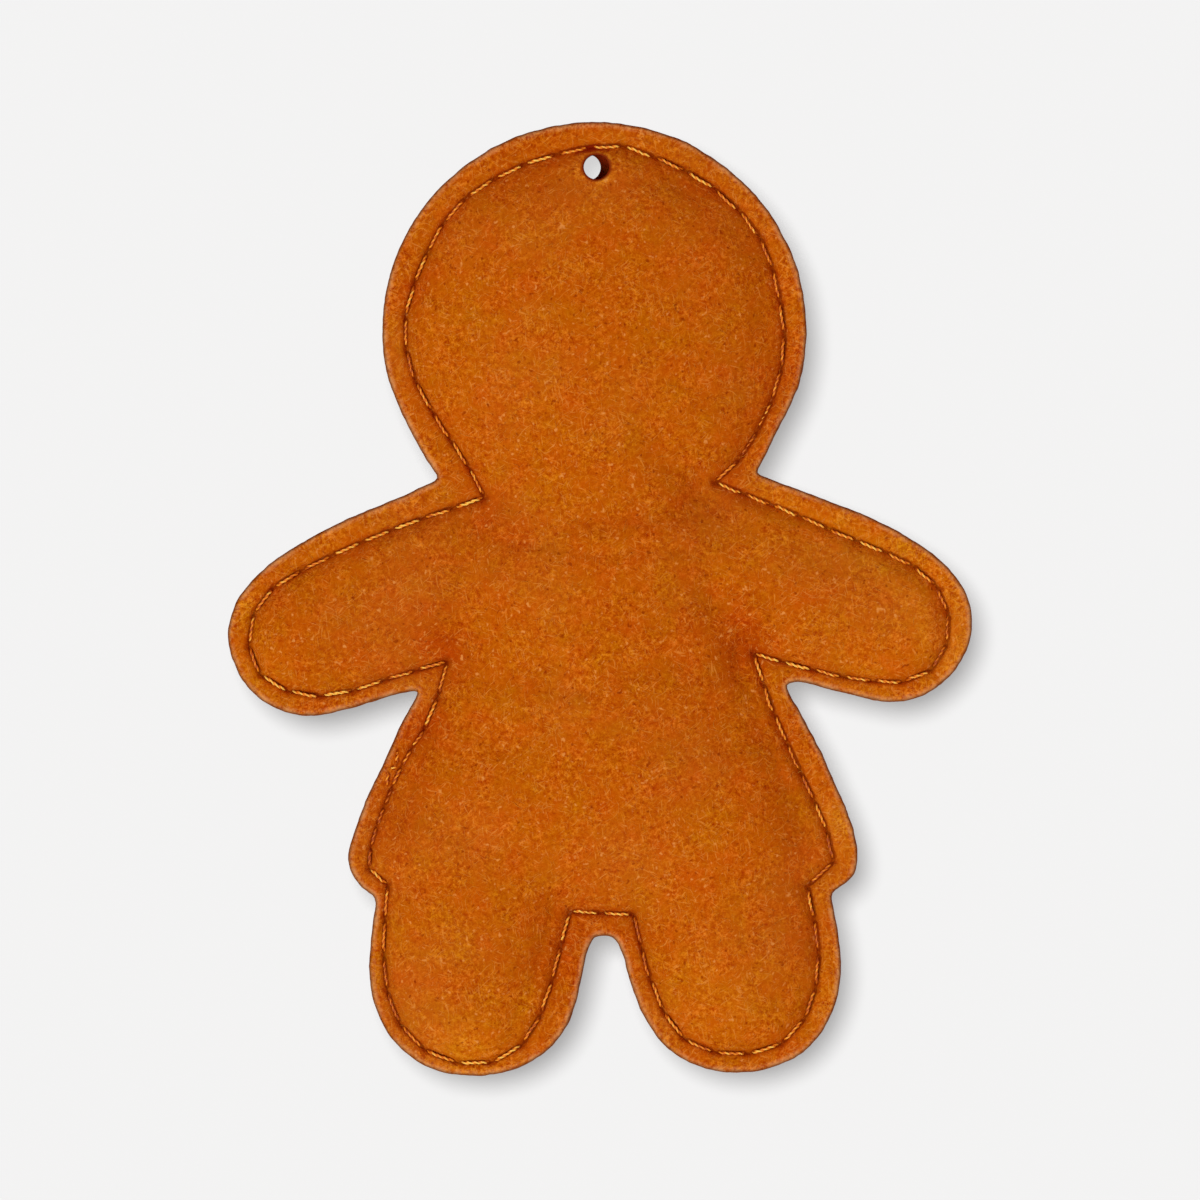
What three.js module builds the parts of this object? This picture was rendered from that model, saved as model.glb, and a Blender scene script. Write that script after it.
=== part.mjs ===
// A felt Christmas ornament: a plain gingerbread figure in a flared skirt.
// Two felt panels are cut to one outline, lockstitched together along their edge and
// stuffed with fibre, and a round hole through the top of the head takes a hanging loop.
// Millimetres. +Z is up and the front faces -Y. The origin is the middle of the hanging
// hole, half way through the ornament. Left and right are the viewer's.
import * as THREE from "three";

// Driving dimensions.
const FELT_THICKNESS = 2;
const HALF_GAP = 0.15; // from the middle plane to the inside face of each panel
const EDGE_ROUNDING = 0.35; // where the blade has pressed the felt's cut edge down
const CROWN = 1.33; // how strongly the stuffing lifts a panel
const CROWN_POWER = 0.6; // how fast the lift dies away from the seam
const CAVITY_MARGIN = 2; // from the seam to where the panels part
const CAVITY_CROWN = 1.25;
const GROOVE_OUTSIDE = 0.8; // from the seam to the groove's lip on the border
const GROOVE_INSIDE = 0.62; // from the seam to the groove's lip on the pillow
const GROOVE_FLOOR = 1.2; // from the middle plane to the groove's floor
const THREAD_RADIUS = 0.19;
const STITCH_TOP = 2.1; // from the middle plane to the thread's centre, along a stitch
const STITCH_DIP = 1.75; // and where it dips into its needle hole
const STITCH_SHOULDER = 0.22; // the part of a stitch that the dip takes at each end
const THREAD_END = 0.15; // the part of a stitch left free between two threads
const HOLE_RADIUS = 1.6;
const HOLE_SIDES = 14;
const FRONT_HOLE = [0.3, 0.05];
const BACK_HOLE = [-0.7, 0.05]; // the punched holes have crept apart in stitching
const WAD_MARGIN = 3; // from the seam to the stuffing
const WAD_CLEARANCE = 0.9; // from the felt to the stuffing
const WAD_RIM = 0.3; // half the height of a wad's thin rim
const WAD_GAP = 0.2; // from a cut between two wads to each of them
const WAD_TOP = -3.2; // the stuffing stays below the hanging hole

// Sizes of the faces.
const PANEL_GRID = 5;
const WAD_GRID = 6.5;
const FIRST_RING = 2.6; // from the seam to the first row of points on the pillow
const SLIGHT_BEND = 1e-5; // keeps the points of a straight stretch in its triangles

// The felt outline, anticlockwise as seen from the front.
const HEAD = { x: 0.05, z: -20.4, halfWidth: 26.7, halfHeight: 26.2 };
const NECK_RIGHT = [20.3, -38.4];
const NECK_LEFT = [-19.4, -39.1];
const ARMPIT_LEFT = [-21.9, -65.7];
const HIP_LEFT = [-27.4, -91.8];
const CROTCH_LEFT = [0, -96.6];
const CROTCH_RIGHT = [2.4, -96.6];
const HIP_RIGHT = [29.8, -91.1];
const ARMPIT_RIGHT = [24, -64.9];

const onHead = (degrees) => {
  const angle = THREE.MathUtils.degToRad(degrees);
  return [HEAD.x + HEAD.halfWidth * Math.cos(angle), HEAD.z + HEAD.halfHeight * Math.sin(angle)];
};
const headAngles = [-35, -10, 15, 40, 65, 90, 115, 140, 165, 190, 215];

const outlineStretches = [
  { steps: 30, points: [NECK_RIGHT, ...headAngles.map(onHead), NECK_LEFT] },
  {
    steps: 20,
    points: [
      NECK_LEFT, [-25.4, -41.8], [-31.4, -44.3], [-36.2, -46.8], [-40.1, -49.3], [-42.9, -51.8],
      [-44.8, -54.3], [-45.9, -57.1], [-46, -59.6], [-45.4, -62.1], [-43.9, -64.9], [-41.5, -67.2],
      [-38.2, -68.6], [-35.5, -68.9], [-31.9, -68.3], [-26.9, -66.8], [-23.9, -65.7], ARMPIT_LEFT,
    ],
  },
  {
    steps: 9,
    points: [
      ARMPIT_LEFT, [-24, -69.4], [-26.3, -74.5], [-28.7, -79.5], [-30.4, -84.3], [-31, -86.8],
      [-30.4, -88.9], [-29.1, -90.6], HIP_LEFT,
    ],
  },
  {
    steps: 18,
    points: [
      HIP_LEFT, [-28.1, -97.1], [-28.2, -101.9], [-27.4, -105.9], [-25.3, -109.7], [-21, -113.1],
      [-15.6, -114.2], [-10.3, -113.5], [-6.2, -111.3], [-3.3, -107.7], [-1.6, -102.1],
      [-0.8, -98.5], CROTCH_LEFT,
    ],
  },
  { steps: 1, points: [CROTCH_LEFT, CROTCH_RIGHT] },
  {
    steps: 18,
    points: [
      CROTCH_RIGHT, [3.3, -98.1], [4.5, -102.1], [6.4, -106.9], [9.3, -110.8], [13.7, -113.2],
      [18.6, -113.8], [23.4, -112.8], [27.4, -110.3], [30.1, -106], [31.1, -100.3],
      [30.4, -94.6], HIP_RIGHT,
    ],
  },
  {
    steps: 9,
    points: [
      HIP_RIGHT, [31.4, -90.2], [32.8, -88.6], [33.2, -86.4], [32.7, -83.5], [30.7, -78.2],
      [27.8, -71.9], [25, -66.9], ARMPIT_RIGHT,
    ],
  },
  {
    steps: 20,
    points: [
      ARMPIT_RIGHT, [25.9, -64.7], [30.9, -65.9], [37.6, -67.2], [42.3, -65.9], [45.7, -62.8],
      [47.4, -59.1], [47.5, -56.2], [46.7, -53.3], [43.9, -49.6], [40.1, -46.8], [35.5, -44.3],
      [29.3, -41.8], [23.4, -39.6], NECK_RIGHT,
    ],
  },
];

// The seam, the same way round. Each stretch runs from corner to corner in whole stitches.
const seamStretches = {
  head: {
    steps: 28,
    points: [
      [15.2, -39.5], [18.4, -36.5], [21.4, -31.4], [23.5, -25.7], [24, -20.1], [23, -14.7],
      [21.3, -9.3], [17.9, -4.9], [13.1, -1.1], [6.4, 1.9], [2.4, 3], [-1.5, 2.5], [-9.7, 0.1],
      [-17.2, -4.7], [-21.5, -11.8], [-23.8, -19.7], [-22.9, -25.4], [-20, -31.1],
      [-15.2, -38.4], [-13.7, -41.4],
    ],
  },
  leftArm: {
    steps: 16,
    points: [
      [-13.7, -41.4], [-21.4, -44], [-29.8, -47.3], [-37.6, -51.1], [-41.8, -54.1],
      [-43.3, -58.4], [-43, -62.3], [-40.4, -64.9], [-36.5, -66.2], [-32.5, -66.2],
      [-24.7, -63.8], [-18.4, -62],
    ],
  },
  leftSide: { steps: 2, points: [[-18.4, -62], [-19.6, -66.5], [-21.4, -70.7]] },
  closing: {
    steps: 7,
    points: [[-21.4, -70.7], [-24, -74.9], [-26, -79.5], [-27.9, -84.8], [-28.3, -88.1]],
  },
  leftSkirtCorner: { steps: 1, points: [[-28.3, -88.1], [-25.9, -90.1]] },
  leftLeg: {
    steps: 12,
    points: [
      [-25.9, -90.1], [-26.4, -97.7], [-25.9, -103.8], [-23.9, -108.4], [-20.1, -111.6],
      [-15.8, -112.7], [-11.6, -112.1], [-8.1, -109.2], [-5.8, -104], [-4.3, -98.4],
      [-3, -93.5],
    ],
  },
  crotch: { steps: 2, points: [[-3, -93.5], [5, -93.8]] },
  rightLeg: {
    steps: 12,
    points: [
      [5, -93.8], [6.8, -100.9], [8.6, -105.7], [11.2, -109.4], [15.3, -111.2], [19.9, -111.3],
      [24.3, -109.7], [26.9, -106.3], [28.3, -100.9], [27.9, -95.2], [26.9, -90.3],
    ],
  },
  rightSkirtCorner: { steps: 1, points: [[26.9, -90.3], [30.2, -87.2]] },
  rightSide: {
    steps: 7,
    points: [[30.2, -87.2], [29.2, -83], [25.8, -75.5], [22.4, -67.9], [20.1, -61]],
  },
  rightArm: {
    steps: 17,
    points: [
      [20.1, -61], [27.4, -63], [34.2, -64.4], [40.4, -64.3], [43.5, -61.9], [44.8, -57.5],
      [43.3, -52.8], [40, -49.9], [32.7, -46.7], [25, -43.4], [15.2, -39.5],
    ],
  },
};

// Points evenly along a stretch, without its last one, which starts the next stretch.
function alongStretch({ steps, points }) {
  const places = points.map(([x, z]) => new THREE.Vector3(x, 0, z));
  const curve = new THREE.CatmullRomCurve3(places, false, "centripetal");
  return curve.getSpacedPoints(steps).slice(0, -1);
}

// The ring moved towards its inside by a distance, with mitred corners.
function inset(ring, distance) {
  return ring.map((point, i) => {
    const into = point.clone().sub(ring.at(i - 1)).normalize();
    const out = ring[(i + 1) % ring.length].clone().sub(point).normalize();
    const middle = into.clone().add(out).normalize();
    const inward = new THREE.Vector3(-middle.z, 0, middle.x);
    return point.clone().addScaledVector(inward, distance / middle.dot(into));
  });
}

const outline = outlineStretches.flatMap(alongStretch);
const seam = Object.values(seamStretches).flatMap(alongStretch);

// The number of the needle hole where each stretch of the seam starts.
const startOf = {};
let stitchesSoFar = 0;
for (const [name, stretch] of Object.entries(seamStretches)) {
  startOf[name] = stitchesSoFar;
  stitchesSoFar += stretch.steps;
}

// Short pieces of the seam, for measuring how far a place is from it.
const PIECES_IN_A_STITCH = 8;
const seamPieces = seam.flatMap((hole, i) => {
  const next = seam[(i + 1) % seam.length];
  return Array.from({ length: PIECES_IN_A_STITCH }, (_, k) => ({
    middle: hole.clone().lerp(next, (k + 0.5) / PIECES_IN_A_STITCH),
    length: hole.distanceTo(next) / PIECES_IN_A_STITCH,
  }));
});

// How deep a place is inside the seam. Beside a straight stretch this is its distance from
// the seam, and between several stretches it evens out, as a stuffed panel does.
function depthInside(place) {
  let pull = 0;
  for (const piece of seamPieces) {
    pull += piece.length / Math.hypot(place.x - piece.middle.x, place.z - piece.middle.z) ** 3;
  }
  return Math.sqrt(2 / pull);
}

const lift = (depth, crown) => crown * Math.max(0, depth) ** CROWN_POWER;
const pillowFace = (place) => GROOVE_FLOOR + lift(depthInside(place), CROWN);
const cavityFace = (place) =>
  HALF_GAP + (isInside(place, seam) ? lift(depthInside(place) - CAVITY_MARGIN, CAVITY_CROWN) : 0);
const wadFace = (place) => Math.max(WAD_RIM, cavityFace(place) - WAD_CLEARANCE);

function isInside(place, ring) {
  let inside = false;
  ring.forEach((a, i) => {
    const b = ring.at(i - 1);
    const crosses = a.z > place.z !== b.z > place.z;
    if (crosses && place.x < a.x + ((b.x - a.x) * (place.z - a.z)) / (b.z - a.z)) inside = !inside;
  });
  return inside;
}

const isClear = (place, others, distance) => others.every((other) => place.distanceTo(other) >= distance);

// Places in even rows inside a ring, at least most of a step from the points already there.
function gridInside(ring, step, taken) {
  const box = new THREE.Box3().setFromPoints(ring);
  const rowStep = step * Math.sqrt(0.75);
  const places = [];
  for (let row = 0, z = box.min.z; z < box.max.z; row += 1, z += rowStep) {
    for (let x = box.min.x + (row % 2) * (step / 2); x < box.max.x; x += step) {
      const place = new THREE.Vector3(x, 0, z);
      if (isInside(place, ring) && isClear(place, taken, 0.65 * step)) places.push(place);
    }
  }
  return places;
}

// Triangles that fill a contour round its holes and through the places inside it, as
// numbers in one list of all of these points, anticlockwise from the front.
function fillContour(contour, holes, places) {
  const rings = [...holes, ...places.map((place) => [place])];
  const bend = ({ x, z }) => new THREE.Vector2(x + SLIGHT_BEND * z * z, z + SLIGHT_BEND * x * x);
  const flat = [contour, ...rings].flat().map(bend);
  const faces = THREE.ShapeUtils.triangulateShape(contour.map(bend), rings.map((ring) => ring.map(bend)));
  for (const face of faces) {
    if (turn(flat[face[0]], flat[face[1]], flat[face[2]]) < 0) face.reverse();
  }
  return flipLongEdges(faces, flat);
}

const turn = (a, b, c) => (b.x - a.x) * (c.y - a.y) - (b.y - a.y) * (c.x - a.x);

const cornerAngle = (apex, a, b) =>
  Math.abs(Math.atan2(turn(apex, a, b), a.clone().sub(apex).dot(b.clone().sub(apex))));

// Turns the shared edge of two triangles wherever that makes them less slender.
function flipLongEdges(faces, flat) {
  const ownerOf = new Map();
  const claim = (face, number) => face.forEach((a, k) => ownerOf.set(`${a},${face[(k + 1) % 3]}`, number));
  faces.forEach(claim);
  for (let again = true; again; ) {
    again = false;
    for (let number = 0; number < faces.length; number += 1) {
      for (let k = 0; k < 3; k += 1) {
        const [a, b, c] = [0, 1, 2].map((step) => faces[number][(k + step) % 3]);
        const other = ownerOf.get(`${b},${a}`);
        if (other === undefined) continue;
        const d = faces[other].find((corner) => corner !== a && corner !== b);
        const [pa, pb, pc, pd] = [a, b, c, d].map((corner) => flat[corner]);
        const angles = cornerAngle(pc, pa, pb) + cornerAngle(pd, pa, pb);
        if (angles <= Math.PI + 1e-6 || turn(pa, pd, pc) <= 0 || turn(pb, pc, pd) <= 0) continue;
        ownerOf.delete(`${a},${b}`);
        ownerOf.delete(`${b},${a}`);
        faces[number] = [a, d, c];
        faces[other] = [b, c, d];
        claim(faces[number], number);
        claim(faces[other], other);
        again = true;
        break;
      }
    }
  }
  return faces;
}

// A closed surface built up from rings. Heights are measured from the middle plane, towards
// the viewer for the front (side -1) and away from the viewer for the back (side 1).
class ClosedSurface {
  constructor(side) {
    this.side = side;
    this.points = [];
    this.faces = [];
  }

  ring(places, height) {
    return places.map((place) => {
      this.points.push(new THREE.Vector3(place.x, this.side * height(place), place.z));
      return this.points.length - 1;
    });
  }

  face(a, b, c) {
    this.faces.push(this.side < 0 ? [a, b, c] : [a, c, b]);
  }

  // A band between two rings of as many points, which faces the viewer or outwards.
  strip(inner, outer) {
    inner.forEach((_, i) => {
      const next = (i + 1) % inner.length;
      this.face(inner[i], outer[i], outer[next]);
      this.face(inner[i], outer[next], inner[next]);
    });
  }

  // A filled area between a contour and its holes, facing the viewer or, turned, away.
  fill(contour, holes, inside, turned = false) {
    const numbers = [contour, ...holes, inside].flat();
    const place = (number) => this.points[number];
    const rings = holes.map((hole) => hole.map(place));
    for (const face of fillContour(contour.map(place), rings, inside.map(place))) {
      const [a, b, c] = face.map((corner) => numbers[corner]);
      if (turned) this.face(a, c, b);
      else this.face(a, b, c);
    }
  }

  geometry() {
    const made = new THREE.BufferGeometry().setFromPoints(this.points);
    made.setIndex(this.faces.flat());
    made.computeVertexNormals();
    return made;
  }
}

const felt = new THREE.MeshStandardMaterial({ color: 0xc05e0a, roughness: 0.95, metalness: 0 });
const stuffing = new THREE.MeshStandardMaterial({ color: 0xf1ede3, roughness: 1, metalness: 0 });
const thread = new THREE.MeshStandardMaterial({ color: 0xd98a2b, roughness: 0.6, metalness: 0 });

const ornament = new THREE.Group();

function addPiece(name, geometry, material) {
  const mesh = new THREE.Mesh(geometry, material);
  mesh.name = name;
  ornament.add(mesh);
}

// One felt panel: a flat border with a rounded cut edge, the groove that the stitches pull
// into the felt, the stuffed pillow inside the seam, and the hanging hole.
function feltPanel(side, [holeX, holeZ]) {
  const borderFace = HALF_GAP + FELT_THICKNESS;
  const holeCentre = new THREE.Vector3(holeX, 0, holeZ);
  const holeRim = Array.from({ length: HOLE_SIDES }, (_, i) => {
    const angle = (2 * Math.PI * i) / HOLE_SIDES;
    const spoke = new THREE.Vector3(Math.cos(angle), 0, Math.sin(angle));
    return holeCentre.clone().addScaledVector(spoke, HOLE_RADIUS);
  });
  const besideHole = (place) => place.distanceTo(holeCentre) > HOLE_RADIUS + 0.8;

  const panel = new ClosedSurface(side);
  const cutEdgeInside = panel.ring(outline, () => HALF_GAP);
  const cutEdgeMiddle = panel.ring(outline, () => borderFace - EDGE_ROUNDING);
  const cutEdgeOutside = panel.ring(inset(outline, EDGE_ROUNDING), () => borderFace);
  const borderLip = panel.ring(inset(seam, -GROOVE_OUTSIDE), () => borderFace);
  const grooveFloor = panel.ring(seam, () => GROOVE_FLOOR);
  const pillowLip = panel.ring(inset(seam, GROOVE_INSIDE), pillowFace);
  panel.strip(cutEdgeMiddle, cutEdgeInside);
  panel.strip(cutEdgeOutside, cutEdgeMiddle);
  panel.fill(cutEdgeOutside, [borderLip], []);
  panel.strip(grooveFloor, borderLip);
  panel.strip(pillowLip, grooveFloor);

  const firstRing = inset(seam, FIRST_RING).filter(besideHole);
  const pillow = gridInside(inset(seam, FIRST_RING), PANEL_GRID, firstRing).filter(besideHole);
  const holeOutside = panel.ring(holeRim, pillowFace);
  panel.fill(pillowLip, [holeOutside], panel.ring([...firstRing, ...pillow], pillowFace));

  const cavityEdge = inset(seam, CAVITY_MARGIN).filter(besideHole);
  const cavity = gridInside(inset(seam, CAVITY_MARGIN), PANEL_GRID, cavityEdge).filter(besideHole);
  const holeInside = panel.ring(holeRim, cavityFace);
  panel.fill(cutEdgeInside, [holeInside], panel.ring([...cavityEdge, ...cavity], cavityFace), true);
  panel.strip(holeInside, holeOutside);
  return panel.geometry();
}

addPiece("front_panel", feltPanel(-1, FRONT_HOLE), felt);
addPiece("back_panel", feltPanel(1, BACK_HOLE), felt);

// The stuffing is pushed in as six wads, which meet at the neck, the shoulders and the hips.
const wadRing = inset(seam, WAD_MARGIN).map((place) => {
  return new THREE.Vector3(place.x, 0, Math.min(place.z, WAD_TOP - place.x ** 2 / 1000));
});
const wadStretch = (from, to) => wadRing.slice(from, to + 1);

// The places along a cut, without its two ends.
function cutBetween(a, b) {
  const parts = Math.round(a.distanceTo(b) / WAD_GRID);
  return Array.from({ length: parts - 1 }, (_, i) => a.clone().lerp(b, (i + 1) / parts));
}

// One wad inside a ring: both faces follow the inside of the felt, down to a thin rim.
function wad(ring) {
  const rim = inset(ring, WAD_GAP);
  const middle = gridInside(rim, WAD_GRID, rim);
  const shape = new ClosedSurface(-1);
  const frontRim = shape.ring(rim, wadFace);
  const backRim = shape.ring(rim, (place) => -wadFace(place));
  shape.strip(frontRim, backRim);
  shape.fill(frontRim, [], shape.ring(middle, wadFace));
  shape.fill(backRim, [], shape.ring(middle, (place) => -wadFace(place)), true);
  return shape.geometry();
}

const neckLeft = wadRing[startOf.leftArm];
const neckRight = wadRing[startOf.head];
const armpitLeft = wadRing[startOf.leftSide];
const armpitRight = wadRing[startOf.rightArm];
const hipLeft = wadRing[startOf.leftLeg];
const crotchLeft = wadRing[startOf.crotch];
const crotchRight = wadRing[startOf.rightLeg];
const hipRight = wadRing[startOf.rightSkirtCorner];

const wads = {
  head_stuffing: [...wadStretch(startOf.head, startOf.leftArm), ...cutBetween(neckLeft, neckRight)],
  left_arm_stuffing: [
    ...wadStretch(startOf.leftArm, startOf.leftSide),
    ...cutBetween(armpitLeft, neckLeft),
  ],
  torso_stuffing: [
    neckLeft,
    ...cutBetween(neckLeft, armpitLeft),
    ...wadStretch(startOf.leftSide, startOf.leftLeg),
    ...cutBetween(hipLeft, crotchLeft),
    ...wadStretch(startOf.crotch, startOf.rightLeg),
    ...cutBetween(crotchRight, hipRight),
    ...wadStretch(startOf.rightSkirtCorner, startOf.rightArm),
    ...cutBetween(armpitRight, neckRight),
    neckRight,
    ...cutBetween(neckRight, neckLeft),
  ],
  left_leg_stuffing: [
    ...wadStretch(startOf.leftLeg, startOf.crotch),
    ...cutBetween(crotchLeft, hipLeft),
  ],
  right_leg_stuffing: [
    ...wadStretch(startOf.rightLeg, startOf.rightSkirtCorner),
    ...cutBetween(hipRight, crotchRight),
  ],
  right_arm_stuffing: [
    ...wadStretch(startOf.rightArm, seam.length - 1),
    neckRight,
    ...cutBetween(neckRight, armpitRight),
  ],
};
for (const [name, ring] of Object.entries(wads)) addPiece(name, wad(ring), stuffing);

// A thread's way along the seam: over the felt for a stitch, and down into the next hole.
class StitchedPath extends THREE.Curve {
  constructor(side, firstHole, stitches) {
    super();
    this.points = [];
    const add = (stitch, share, height) => {
      const hole = seam[(firstHole + stitch) % seam.length];
      const next = seam[(firstHole + stitch + 1) % seam.length];
      const place = hole.clone().lerp(next, share);
      this.points.push(place.setY(side * height));
    };
    for (let stitch = 0; stitch < stitches; stitch += 1) {
      add(stitch, stitch === 0 ? THREAD_END : 0, STITCH_DIP);
      add(stitch, STITCH_SHOULDER + (stitch === 0 ? THREAD_END : 0), STITCH_TOP);
      add(stitch, 1 - STITCH_SHOULDER, STITCH_TOP);
    }
    add(stitches - 1, 1 - THREAD_END / 2, STITCH_DIP);
  }

  getPoint(share) {
    const along = share * (this.points.length - 1);
    const i = Math.min(Math.floor(along), this.points.length - 2);
    return this.points[i].clone().lerp(this.points[i + 1], along - i);
  }

  getPointAt(share) {
    return this.getPoint(share);
  }

  getTangentAt(share) {
    return this.getTangent(share);
  }
}

// A thread as one unbroken tube, with a ring of corners at each bend of its path.
function stitchedThread(side, firstHole, stitches) {
  const path = new StitchedPath(side, firstHole, stitches);
  const corners = [0, 1, 2, 3].map((quarter) => {
    const angle = (Math.PI / 2) * quarter;
    return new THREE.Vector2(THREAD_RADIUS * Math.cos(angle), THREAD_RADIUS * Math.sin(angle));
  });
  return new THREE.ExtrudeGeometry(new THREE.Shape(corners), {
    steps: path.points.length - 1,
    extrudePath: path,
  });
}

// The main seam stops and starts beside the gap in the left side of the skirt. The gap takes
// the stuffing in, and a second pair of threads then closes it.
const mainStart = startOf.leftSkirtCorner;
const mainStitches = seam.length - seamStretches.closing.steps;
const closingStitches = seamStretches.closing.steps;
addPiece("seam_needle_thread", stitchedThread(-1, mainStart, mainStitches), thread);
addPiece("seam_bobbin_thread", stitchedThread(1, mainStart, mainStitches), thread);
addPiece("closing_needle_thread", stitchedThread(-1, startOf.closing, closingStitches), thread);
addPiece("closing_bobbin_thread", stitchedThread(1, startOf.closing, closingStitches), thread);

export default ornament;
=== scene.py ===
# %% [markdown]
# # A stuffed felt Christmas ornament
# The real ornament is two felt panels cut to one outline, a plain gingerbread figure in a
# flared skirt. A sewing machine joins them 2.6 mm inside the cut edge, and fibre stuffing
# fills them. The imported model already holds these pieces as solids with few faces. It is
# loaded first and stays where it is, and each of its soft solids then gets a piece here
# that has the form and finish of the real one.

import math
import random

import bmesh
import bpy
import numpy as np
from mathutils import Matrix, Vector, noise
from mathutils.bvhtree import BVHTree


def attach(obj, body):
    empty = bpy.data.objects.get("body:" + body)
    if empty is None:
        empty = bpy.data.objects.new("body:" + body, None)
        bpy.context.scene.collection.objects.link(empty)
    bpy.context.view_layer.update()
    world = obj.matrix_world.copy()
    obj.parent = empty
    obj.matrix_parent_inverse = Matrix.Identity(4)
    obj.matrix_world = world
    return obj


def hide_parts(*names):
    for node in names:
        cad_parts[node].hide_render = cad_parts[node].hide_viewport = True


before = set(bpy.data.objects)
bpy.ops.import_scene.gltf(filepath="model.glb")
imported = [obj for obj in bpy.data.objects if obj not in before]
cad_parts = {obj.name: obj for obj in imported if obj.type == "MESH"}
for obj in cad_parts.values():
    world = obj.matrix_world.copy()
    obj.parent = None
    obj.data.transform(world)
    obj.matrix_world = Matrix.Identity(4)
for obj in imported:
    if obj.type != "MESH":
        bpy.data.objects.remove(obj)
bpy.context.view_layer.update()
MM = 0.001

# %% [markdown]
# ## The camera
# The photograph looks straight at the front and shows no perspective, so it was taken from
# far away. A long lens at more than a metre does the same. The lens follows from how much
# of the ornament's plane the picture spans.

# %% Camera
PICTURE_WIDTH = 150.94 * MM  # measured at the front of the ornament
PICTURE_CENTRE = Vector((0.755, -2.15, -54.34)) * MM
CAMERA_DISTANCE = 1.3
SENSOR_WIDTH = 36

scene = bpy.context.scene
lens = bpy.data.cameras.new("camera")
lens.sensor_width = SENSOR_WIDTH
lens.lens = SENSOR_WIDTH * CAMERA_DISTANCE / PICTURE_WIDTH
camera = bpy.data.objects.new("camera", lens)
camera.location = PICTURE_CENTRE - Vector((0, CAMERA_DISTANCE, 0))
camera.rotation_euler = (math.radians(90), 0, 0)
scene.collection.objects.link(camera)
scene.camera = camera
scene.view_settings.view_transform = "Standard"
print("lens in mm:", round(lens.lens))

# %% [markdown]
# ## Colours and nodes
# Colours are read off as sRGB hex values, the way a colour picker gives them. Blender works
# with linear light, so one function turns the one into the other. A second function adds a
# node, sets it up and connects it, so that a material reads as a short list.

# %% Two helpers for materials
def linear(hex_colour):
    """The linear colour that an sRGB hex value stands for."""
    channels = [int(hex_colour[i : i + 2], 16) / 255 for i in (1, 3, 5)]
    return [c / 12.92 if c <= 0.04045 else ((c + 0.055) / 1.055) ** 2.4 for c in channels] + [1.0]


def add_node(tree, kind, inputs=(), **settings):
    """A new node with its settings, and with a value or a link for each of the inputs."""
    node = tree.nodes.new("ShaderNode" + kind)
    for name, value in settings.items():
        setattr(node, name, value)
    for name, value in dict(inputs).items():
        if isinstance(value, bpy.types.Node):
            value = value.outputs[0]
        if isinstance(value, bpy.types.NodeSocket):
            tree.links.new(value, node.inputs[name])
        else:
            node.inputs[name].default_value = value
    return node


def empty_material(name):
    """A new material with no nodes in it, and its node tree."""
    material = bpy.data.materials.new(name)
    material.use_nodes = True
    material.node_tree.nodes.clear()
    return material, material.node_tree


def set_ramp(node, stops):
    """Gives a colour ramp its stops: pairs of a place from 0 to 1 and a hex colour."""
    elements = node.color_ramp.elements
    while len(elements) > 1:
        elements.remove(elements[-1])
    elements[0].position = stops[0][0]
    elements[0].color = linear(stops[0][1])
    for place, colour in stops[1:]:
        elements.new(place).color = linear(colour)
    return node


# %% [markdown]
# ## Light, wall and floor
# The photograph is lit softly from the front, a little from the left and from below, and the
# ornament lies on a pale ground that takes a soft shadow towards the lower right. Here the
# ornament hangs upright, so that ground is a wall that just touches its back, with a pale
# floor below the picture. Light that comes from the world and the lamps adds up to about 1
# on the front, so a colour renders about as it is written. Only the camera sees the wall and
# the floor: to every other ray they are clear, so they shade nothing when the ornament is
# looked at from behind or from below. Their own lamp, linked to them alone, makes the
# shadow, so its place and depth can be set without changing the light on the ornament.

# %% Light
# The light from all round is warm, as light in a room with orange things in it, and the lamps
# make up for that, so that on the front the two still add up to an even 1.
AMBIENT = (0.48, 0.31, 0.25)
LAMPS = (0.56, 0.73, 0.79)
PALE_GROUND = "#F4F4F4"

world = bpy.data.worlds.new("soft studio light")
world.use_nodes = True
scene.world = world
tree = world.node_tree
tree.nodes.clear()
path = add_node(tree, "LightPath")
seen = path.outputs["Is Camera Ray"]
for ray in ("Is Glossy Ray", "Is Transmission Ray"):
    seen = add_node(tree, "Math", {0: seen, 1: path.outputs[ray]}, operation="MAXIMUM")
soft = add_node(tree, "Background", {"Color": (*AMBIENT, 1), "Strength": 1.0})
plain = add_node(tree, "Background", {"Color": linear(PALE_GROUND), "Strength": 1.0})
mixed = add_node(tree, "MixShader", {0: seen, 1: soft, 2: plain})
add_node(tree, "OutputWorld", {"Surface": mixed})


def add_sun(name, comes_from, level, softness):
    """A soft lamp far away that adds a level of light to a surface that faces it."""
    lamp = bpy.data.lights.new(name, "SUN")
    lamp.energy = math.pi
    lamp.color = level
    lamp.angle = math.radians(softness)
    holder = bpy.data.objects.new(name, lamp)
    holder.rotation_euler = Vector(comes_from).to_track_quat("Z", "Y").to_euler()
    scene.collection.objects.link(holder)
    return holder


ornament_lamps = [
    add_sun("front lamp", (-0.33, -1.0, -0.38), LAMPS, 25),
    add_sun("back lamp", (0.3, 1.0, 0.3), LAMPS, 50),
]
print("light on the front:", [round(a + b, 2) for a, b in zip(AMBIENT, LAMPS)])

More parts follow.
